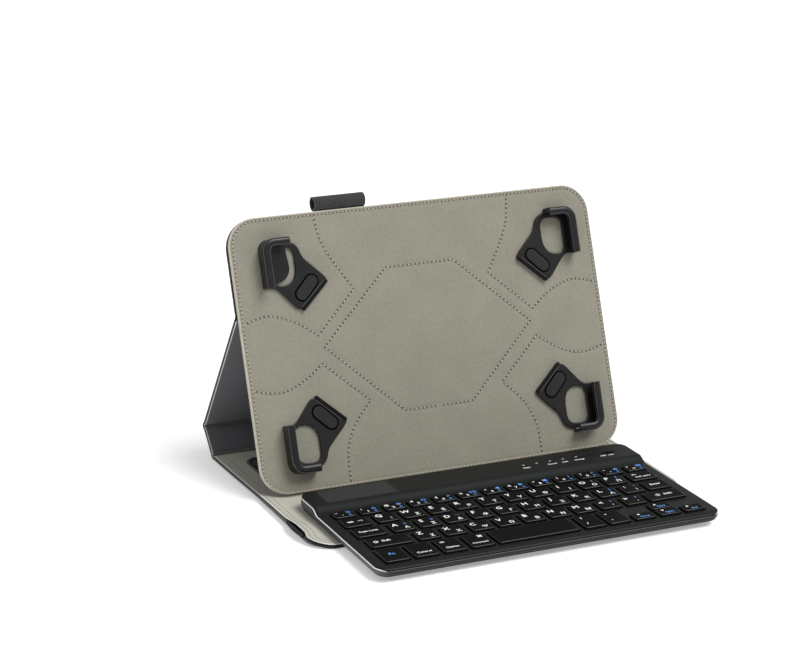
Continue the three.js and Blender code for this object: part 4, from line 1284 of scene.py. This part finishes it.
# Single keys: row, middle, width and words as (text, size, x, y, blue) from the key's middle.
SINGLE_KEYS = {
    "tab_key": ("upper", -98.8, 17.8, [("tab", 3.4, -3, 0.5, 0), ("⇥", 3.6, 3.4, 0.2, 0)]),
    "backspace_key": ("upper", 102.4, 18.8,
                      [("←", 4.6, -3.6, 2.0, 0), ("back space", 2.5, 1.0, -2.2, 0)]),
    "caps_lock_key": ("home", -97.3, 20, [("Caps Lock", 3.0, 0, 0.3, 0)]),
    "enter_key": ("home", 103.3, 17, [("Enter", 3.4, 0, 0.3, 0)]),
    "left_shift_key": ("lower", -92, 28, [("⇧", 4.2, -8.4, 0.5, 0), ("Shift", 3.3, -1.6, 0.5, 0)]),
    "right_shift_key": ("lower", 98.8, 26, [("⇧", 4.2, -4.0, 0.5, 0), ("Shift", 3.3, 3.2, 0.5, 0)]),
    "fn_key": ("bottom", -99, 16.4, [("Fn", 4.2, 0, 0.5, 1)]),
    "control_key": ("bottom", -79.9, 16.6, [("Control", 3.0, 0, -4.4, 0)]),
    "option_key": ("bottom", -61.2, 15.6, [("alt", 3.0, -3, 4.8, 0), ("Option", 3.0, 0, -4.4, 0)]),
    "command_key": ("bottom", -42.7, 15.6, [("⌘", 4.0, 3.6, 4.6, 0), ("Command", 2.5, 0, -4.4, 0)]),
    "space_key": ("bottom", -4.8, 55.2, []),
    "slash_key": ("bottom", 34, 15, [("?", 4.0, -3, 5.2, 0), ("/", 4.0, -3, -3.8, 0)]),
    "quote_key": ("bottom", 50.9, 15, [("\"", 4.0, -3, 4.8, 0), ("'", 4.0, -3, -4.8, 0)]),
}
ARROW_KEYS = [("left", "front", 68.9, "◀", "Home"), ("up", "rear", 86.6, "▲", "PgUp"),
              ("down", "front", 86.6, "▼", "PgDn"), ("right", "front", 104.3, "▶", "End")]
for name, row, x, arrow, text in ARROW_KEYS:
    signs = [(arrow, 2.3, -2.6, 1.8, 0), (text, 2.7, 0.6, -1.8, 1)]
    SINGLE_KEYS[f"{name}_arrow_key"] = (f"arrow_{row}", x, 15, signs)
# Second functions on the number row and on some letter keys, in blue.
NUMBER_SIGNS = ["⎋", "⌂", "☼", "☀", "⌕", "✉", "◀", "▶", "■", "♪", "♫", "⏏", "⌧"]
LETTER_SIGNS = {"AΑ": "⊏", "SΣ": "⊐", "DΔ": "⎯", "PΠ": "[", "LΛ": "]", ":;": "\\",
                "OΟ": "{", ">.": "}", "<,": "|"}


def key_list():
    """Every key as (node, x, y, width, depth, legends)."""
    keys = []
    for node, row, first, pitch, width, legends in EVEN_ROWS:
        y, depth = ROWS[row]
        for number, pair in enumerate(legends):
            keys.append((node, first + number * pitch, y, width, depth, pair_legends(row, number, pair)))
    for node, (row, x, width, legends) in SINGLE_KEYS.items():
        y, depth = ROWS[row]
        keys.append((node, x, y, width, depth, legends))
    return keys


def pair_legends(row, number, pair):
    """Words of a letter or number key: main sign upper left, second one lower right, blue sign."""
    if row == "number":
        return [(pair[0], 3.3, -4.2, 2.0, 0), (pair[1], 3.8, -1.0, -1.8, 0),
                (NUMBER_SIGNS[number], 3.8, 3.9, 1.8, 1), ("fn", 2.6, 3.9, -2.4, 1)]
    words = [(pair[0], 5.6, -3.4, 2.6, 0), (pair[1], 4.6, 2.9, -2.8, 0)]
    if pair in LETTER_SIGNS:
        words.append((LETTER_SIGNS[pair], 3.2, 3.8, 3.0, 1))
    return words


def step_share(s):
    """0 in front of the battery bulge, rising to 1 on it."""
    return smooth((s - STEP[0]) / (STEP[1] - STEP[0]))


def top_level(x, s):
    """Height of the keyboard's top face, before its edges are rounded."""
    front = np.clip(1 - (s - CASE_FRONT) / 5.5, 0, 1)
    rear = np.clip(1 - (CASE_REAR - s) / 5, 0, 1)
    return DECK + (BULGE - DECK) * step_share(s) - 1.1 * front**2 - 0.5 * rear**2


def case_plan(rows=(), columns=(), step=6):
    return Plan(2 * CASE_HALF, CASE_FRONT, CASE_REAR, CASE_RADII, step=step, rows=rows, columns=columns,
                middle=CASE_MIDDLE, true=111.6)


def slots():
    """Openings of the bulge as (x from, x to, y from, y to): the power switch and the indicators."""
    lens_low, lens_high = local_box("indicator_lens", ROW)
    count, edge = 5, 2
    pitch = (lens_high[0] - lens_low[0] - 2 * edge) / (count - 1)
    y = (lens_low[1] + lens_high[1]) / 2
    lights = [lens_low[0] + edge + pitch * k for k in range(count)]
    return [(96, 105.4, -36.4, -34)] + [(x - 0.9, x + 0.9, y - 0.6, y + 0.6) for x in lights]


def top_case():
    """Top shell with its key wells, rounded shoulder, parting line with a painted highlight and a groove of
    painted shade above it, and grained side painted lighter at its ends.
    """
    wells = [(x - w / 2 - WELL_GAP, x + w / 2 + WELL_GAP, y - d / 2 - WELL_GAP, y + d / 2 + WELL_GAP)
             for _, x, y, w, d, _ in key_list()]
    wells = np.array(wells + slots())
    step_rows = np.linspace(STEP[0] - 1, STEP[1] + 1, 13)
    rows = np.concatenate([wells[:, 2:].ravel(), step_rows, CASE_FRONT + np.arange(0.5, 9, 1)])
    plan = case_plan(rows=rows, columns=wells[:, :2].ravel())
    x, s = plan.cell_middles(3.0)
    holes = np.zeros(x.shape, bool)
    for x_from, x_to, y_from, y_to in wells:
        holes |= (x > x_from) & (x < x_to) & (s > y_from) & (s < y_to)

    def below(drop, more=0):
        return lambda x, s: top_level(x, s) - drop - more * step_share(s)
    shoulder = [(3.0, below(0)), (2.2, below(0.03, 0.05)), (1.55, below(0.12, 0.15)),
                (1.05, below(0.32, 0.3)), (0.75, below(0.6, 0.5)), (0.65, below(0.9, 0.7))]
    line = [(0.9, below(0.95, 0.7)), (0.9, below(1.15, 0.7)), (0.6, below(1.2, 0.7)),
            (0.3, below(1.26, 0.7)), (0.1, below(1.44, 0.7)), (0.05, below(1.7, 0.7))]
    side = [(0.1, below(1.76, 0.7)), (0.28, 6.9), (0.5, 6.15), (0.62, PARTING), (1.5, PARTING), (1.7, 6.6),
            (1.9, 7.3), (3.0, below(1.2))]
    loops = shoulder + line + side
    points, faces, kinds = shell(plan, loops, holes=holes)
    first_line = len(shoulder) - 1
    # Looks: 1 is the groove's painted shade, 2 the painted highlight along the edge, 3 the side with painted light
    # at its ends.
    looks = np.zeros(len(faces), int)
    looks[between(kinds, first_line, first_line + 2)] = 1
    looks[between(kinds, first_line + 2, first_line + 5)] = 2
    looks[between(kinds, first_line + 5, len(loops) - 4)] = 3
    piece = make_piece("keyboard_top_shell", points, faces, [CASE, GROOVE_SHADE, PAINTED_EDGE_HIGHLIGHT, CASE_SIDE_PAINTED_LIGHT],
                       through(ROW), indices=looks)
    cut_port(piece)
    finish_piece(piece, "keyboard", ["keyboard_top_case"])


def cut_port(piece):
    """Opens the rear wall for the charge port."""
    low, high = local_box("charge_port", ROW)
    middle = (low + high) / 2
    gap, corner = 0.35, 1.4
    outline = capsule_outline((middle[0], middle[2]), (1, 0), (high[0] - low[0]) / 2 - corner + gap,
                              corner + gap)
    points = [(x, y, z) for y in (CASE_REAR - 2.6, CASE_REAR + 2) for x, z in outline]
    cutter = outward(object_of(np.array(points) * MM, tube_faces(len(outline), 2)))
    cut = piece.modifiers.new("port", "BOOLEAN")
    cut.operation, cut.solver, cut.object = "DIFFERENCE", "EXACT", cutter
    mesh = applied(piece)
    piece.modifiers.clear()
    piece.data = mesh
    bpy.data.objects.remove(cutter)


def bottom_case():
    """Tray that draws in towards its underside."""
    plan = case_plan(step=8)
    loops = [(1.5, TRAY_BOTTOM + 1), (1.4, PARTING - 0.1), (0.62, PARTING - 0.1), (0.7, PARTING - 0.35),
             (1.3, 4.7), (2.1, 3.7), (3.0, TRAY_BOTTOM + 0.1), (4.0, TRAY_BOTTOM)]
    points, faces, kinds = shell(plan, loops)
    # The tray's wall takes the side look, painted lighter at the keyboard's ends.
    add("keyboard_tray", (points, faces), [CASE, CASE_SIDE_PAINTED_LIGHT], ROW, "keyboard", ["keyboard_bottom_case"],
        "case_plastic", indices=between(kinds, 2, 6))


# Key shape from the foot up: how far each ring stands out past the key's size, and its height.
KEY_RINGS = [(0.5, 7.5), (0.5, 8.0), (0, 8.1), (-0.2, 10.4), (-0.34, 10.95), (-0.55, 11.2),
             (-0.85, KEY_TOP), (-1.9, KEY_TOP - 0.02), (-3.4, KEY_TOP - 0.05)]
EDGE_RINGS = (4, 5)  # the bevel, which carries a painted highlight


def keycap(x, y, width, depth):
    """Points, faces and looks of one key: flange and tapered sides in painted shade, bevel with a painted
    highlight, and dished top.
    """
    points = []
    for grow, z in KEY_RINGS:
        half_x, half_y, radius = width / 2 + grow, depth / 2 + grow, max(0.4, 1.5 + grow * 0.6)
        outline = rectangle(-half_x, half_x, -half_y, half_y, radius, radius, steps=4)
        points += [(x + a, y + b, z) for a, b in outline]
    n, rings = len(points) // len(KEY_RINGS), len(KEY_RINGS)
    points += [(x, y, KEY_RINGS[0][1]), (x, y, KEY_RINGS[-1][1])]
    faces, looks = side_faces(n, rings), []
    for r in range(rings - 1):
        looks += [2 if r < EDGE_RINGS[0] else 1 if r in EDGE_RINGS else 0] * n
    faces += [(rings * n, (k + 1) % n, k) for k in range(n)]
    faces += [(rings * n + 1, (rings - 1) * n + k, (rings - 1) * n + (k + 1) % n) for k in range(n)]
    return points, faces, looks + [0] * (2 * n)


GLYPHS = {}


def word(text, size):
    """A word as a thin solid centred on the origin, in millimetres."""
    if (text, size) not in GLYPHS:
        curve = bpy.data.curves.new("word", "FONT")
        curve.body, curve.size, curve.resolution_u = text, size, 2
        curve.extrude = 0.02
        curve.offset = 0.045 * size / 3
        points, faces = arrays_of(shown("word", curve))
        points[:, :2] -= (points[:, :2].min(0) + points[:, :2].max(0)) / 2
        GLYPHS[text, size] = points, faces
    return GLYPHS[text, size]


def keys():
    """Every keycap, and its legends in white and blue, joined for each moving group."""
    caps, inks = {}, {}
    for node, x, y, width, depth, words in key_list():
        caps.setdefault(node, []).append(keycap(x, y, width, depth))
        for text, size, right, up, blue in words:
            points, faces = word(text, size)
            here = (points + (x + right, y + up, KEY_TOP), faces)
            inks.setdefault((node, blue), []).append(here)
    for node, parts in caps.items():
        looks = [look for part in parts for look in part[2]]
        add(f"{node}_caps", joined([part[:2] for part in parts]), [KEYCAP, KEY_EDGE_HIGHLIGHT, KEY_SIDE_SHADE], ROW, node,
            [node], "key_plastic", indices=looks)
    for (node, blue), parts in inks.items():
        add(f"{node}_{'blue' if blue else 'white'}_ink", joined(parts), BLUE_INK if blue else WHITE_INK,
            ROW, node, slot="key_plastic", flat=True)


def bulge_details():
    """Blank label, indicator marks and the power switch's groove, a black strip of painted shade, on the battery
    bulge.
    """
    flat_parts = [("blank_label", (-104, -55.5, -44.6, -24, 1, 1), LABEL),
                  ("switch_line", (70.8, 95.6, -35.45, -34.95, 0.2, 0.2), GROOVE_SHADE)]
    for name, outline, look in flat_parts:
        part = plate_part([rectangle(*outline)], BULGE - 0.3, BULGE + 0.03, 0.01)
        add(name, part, look, ROW, "keyboard", slot="case_plastic")
    marks = []
    for text, x in (("Caps", 38.7), ("Power", 57.7), ("Link", 66.9), ("Charge", 77.6), ("OFF  ON", 98)):
        points, faces = word(text, 2.5)
        marks.append((points + (x, -39.4, BULGE + 0.01), faces))
    add("indicator_marks", joined(marks), WHITE_INK, ROW, "keyboard", slot="case_plastic", flat=True)


# ---------------------------------------------------------------- pieces that keep their CAD shape
NODE_LOOKS = {
    "panel_board": GREY_BOARD, "panel_backing": BACKING, "dock_magnet_left": STEEL,
    "dock_magnet_right": STEEL, "dome_sheet": FILM, "circuit_board": CIRCUIT, "battery": FOIL,
    "charge_port": PORT_STEEL, "indicator_lens": LENS, "power_switch": KEYCAP,
    **{f"{panel}_board": GREY_BOARD for panel in ("front_cover", "spine", "kick_panel", "upper_cover")},
    **{f"clip_elastic_{corner}": ELASTIC for corner in CORNERS},
}


def dress_nodes():
    for node, look in NODE_LOOKS.items():
        for slot in frame["nodes"][node].material_slots:
            slot.material = look


# ---------------------------------------------------------------- assembly
set_camera()
set_stage()
set_view()
leather_covers()
light_lining()
dark_linings()
dock_pad()
edge_tab()
panel_facing()
pen_loop()
clips()
top_case()
bottom_case()
keys()
bulge_details()
dress_nodes()
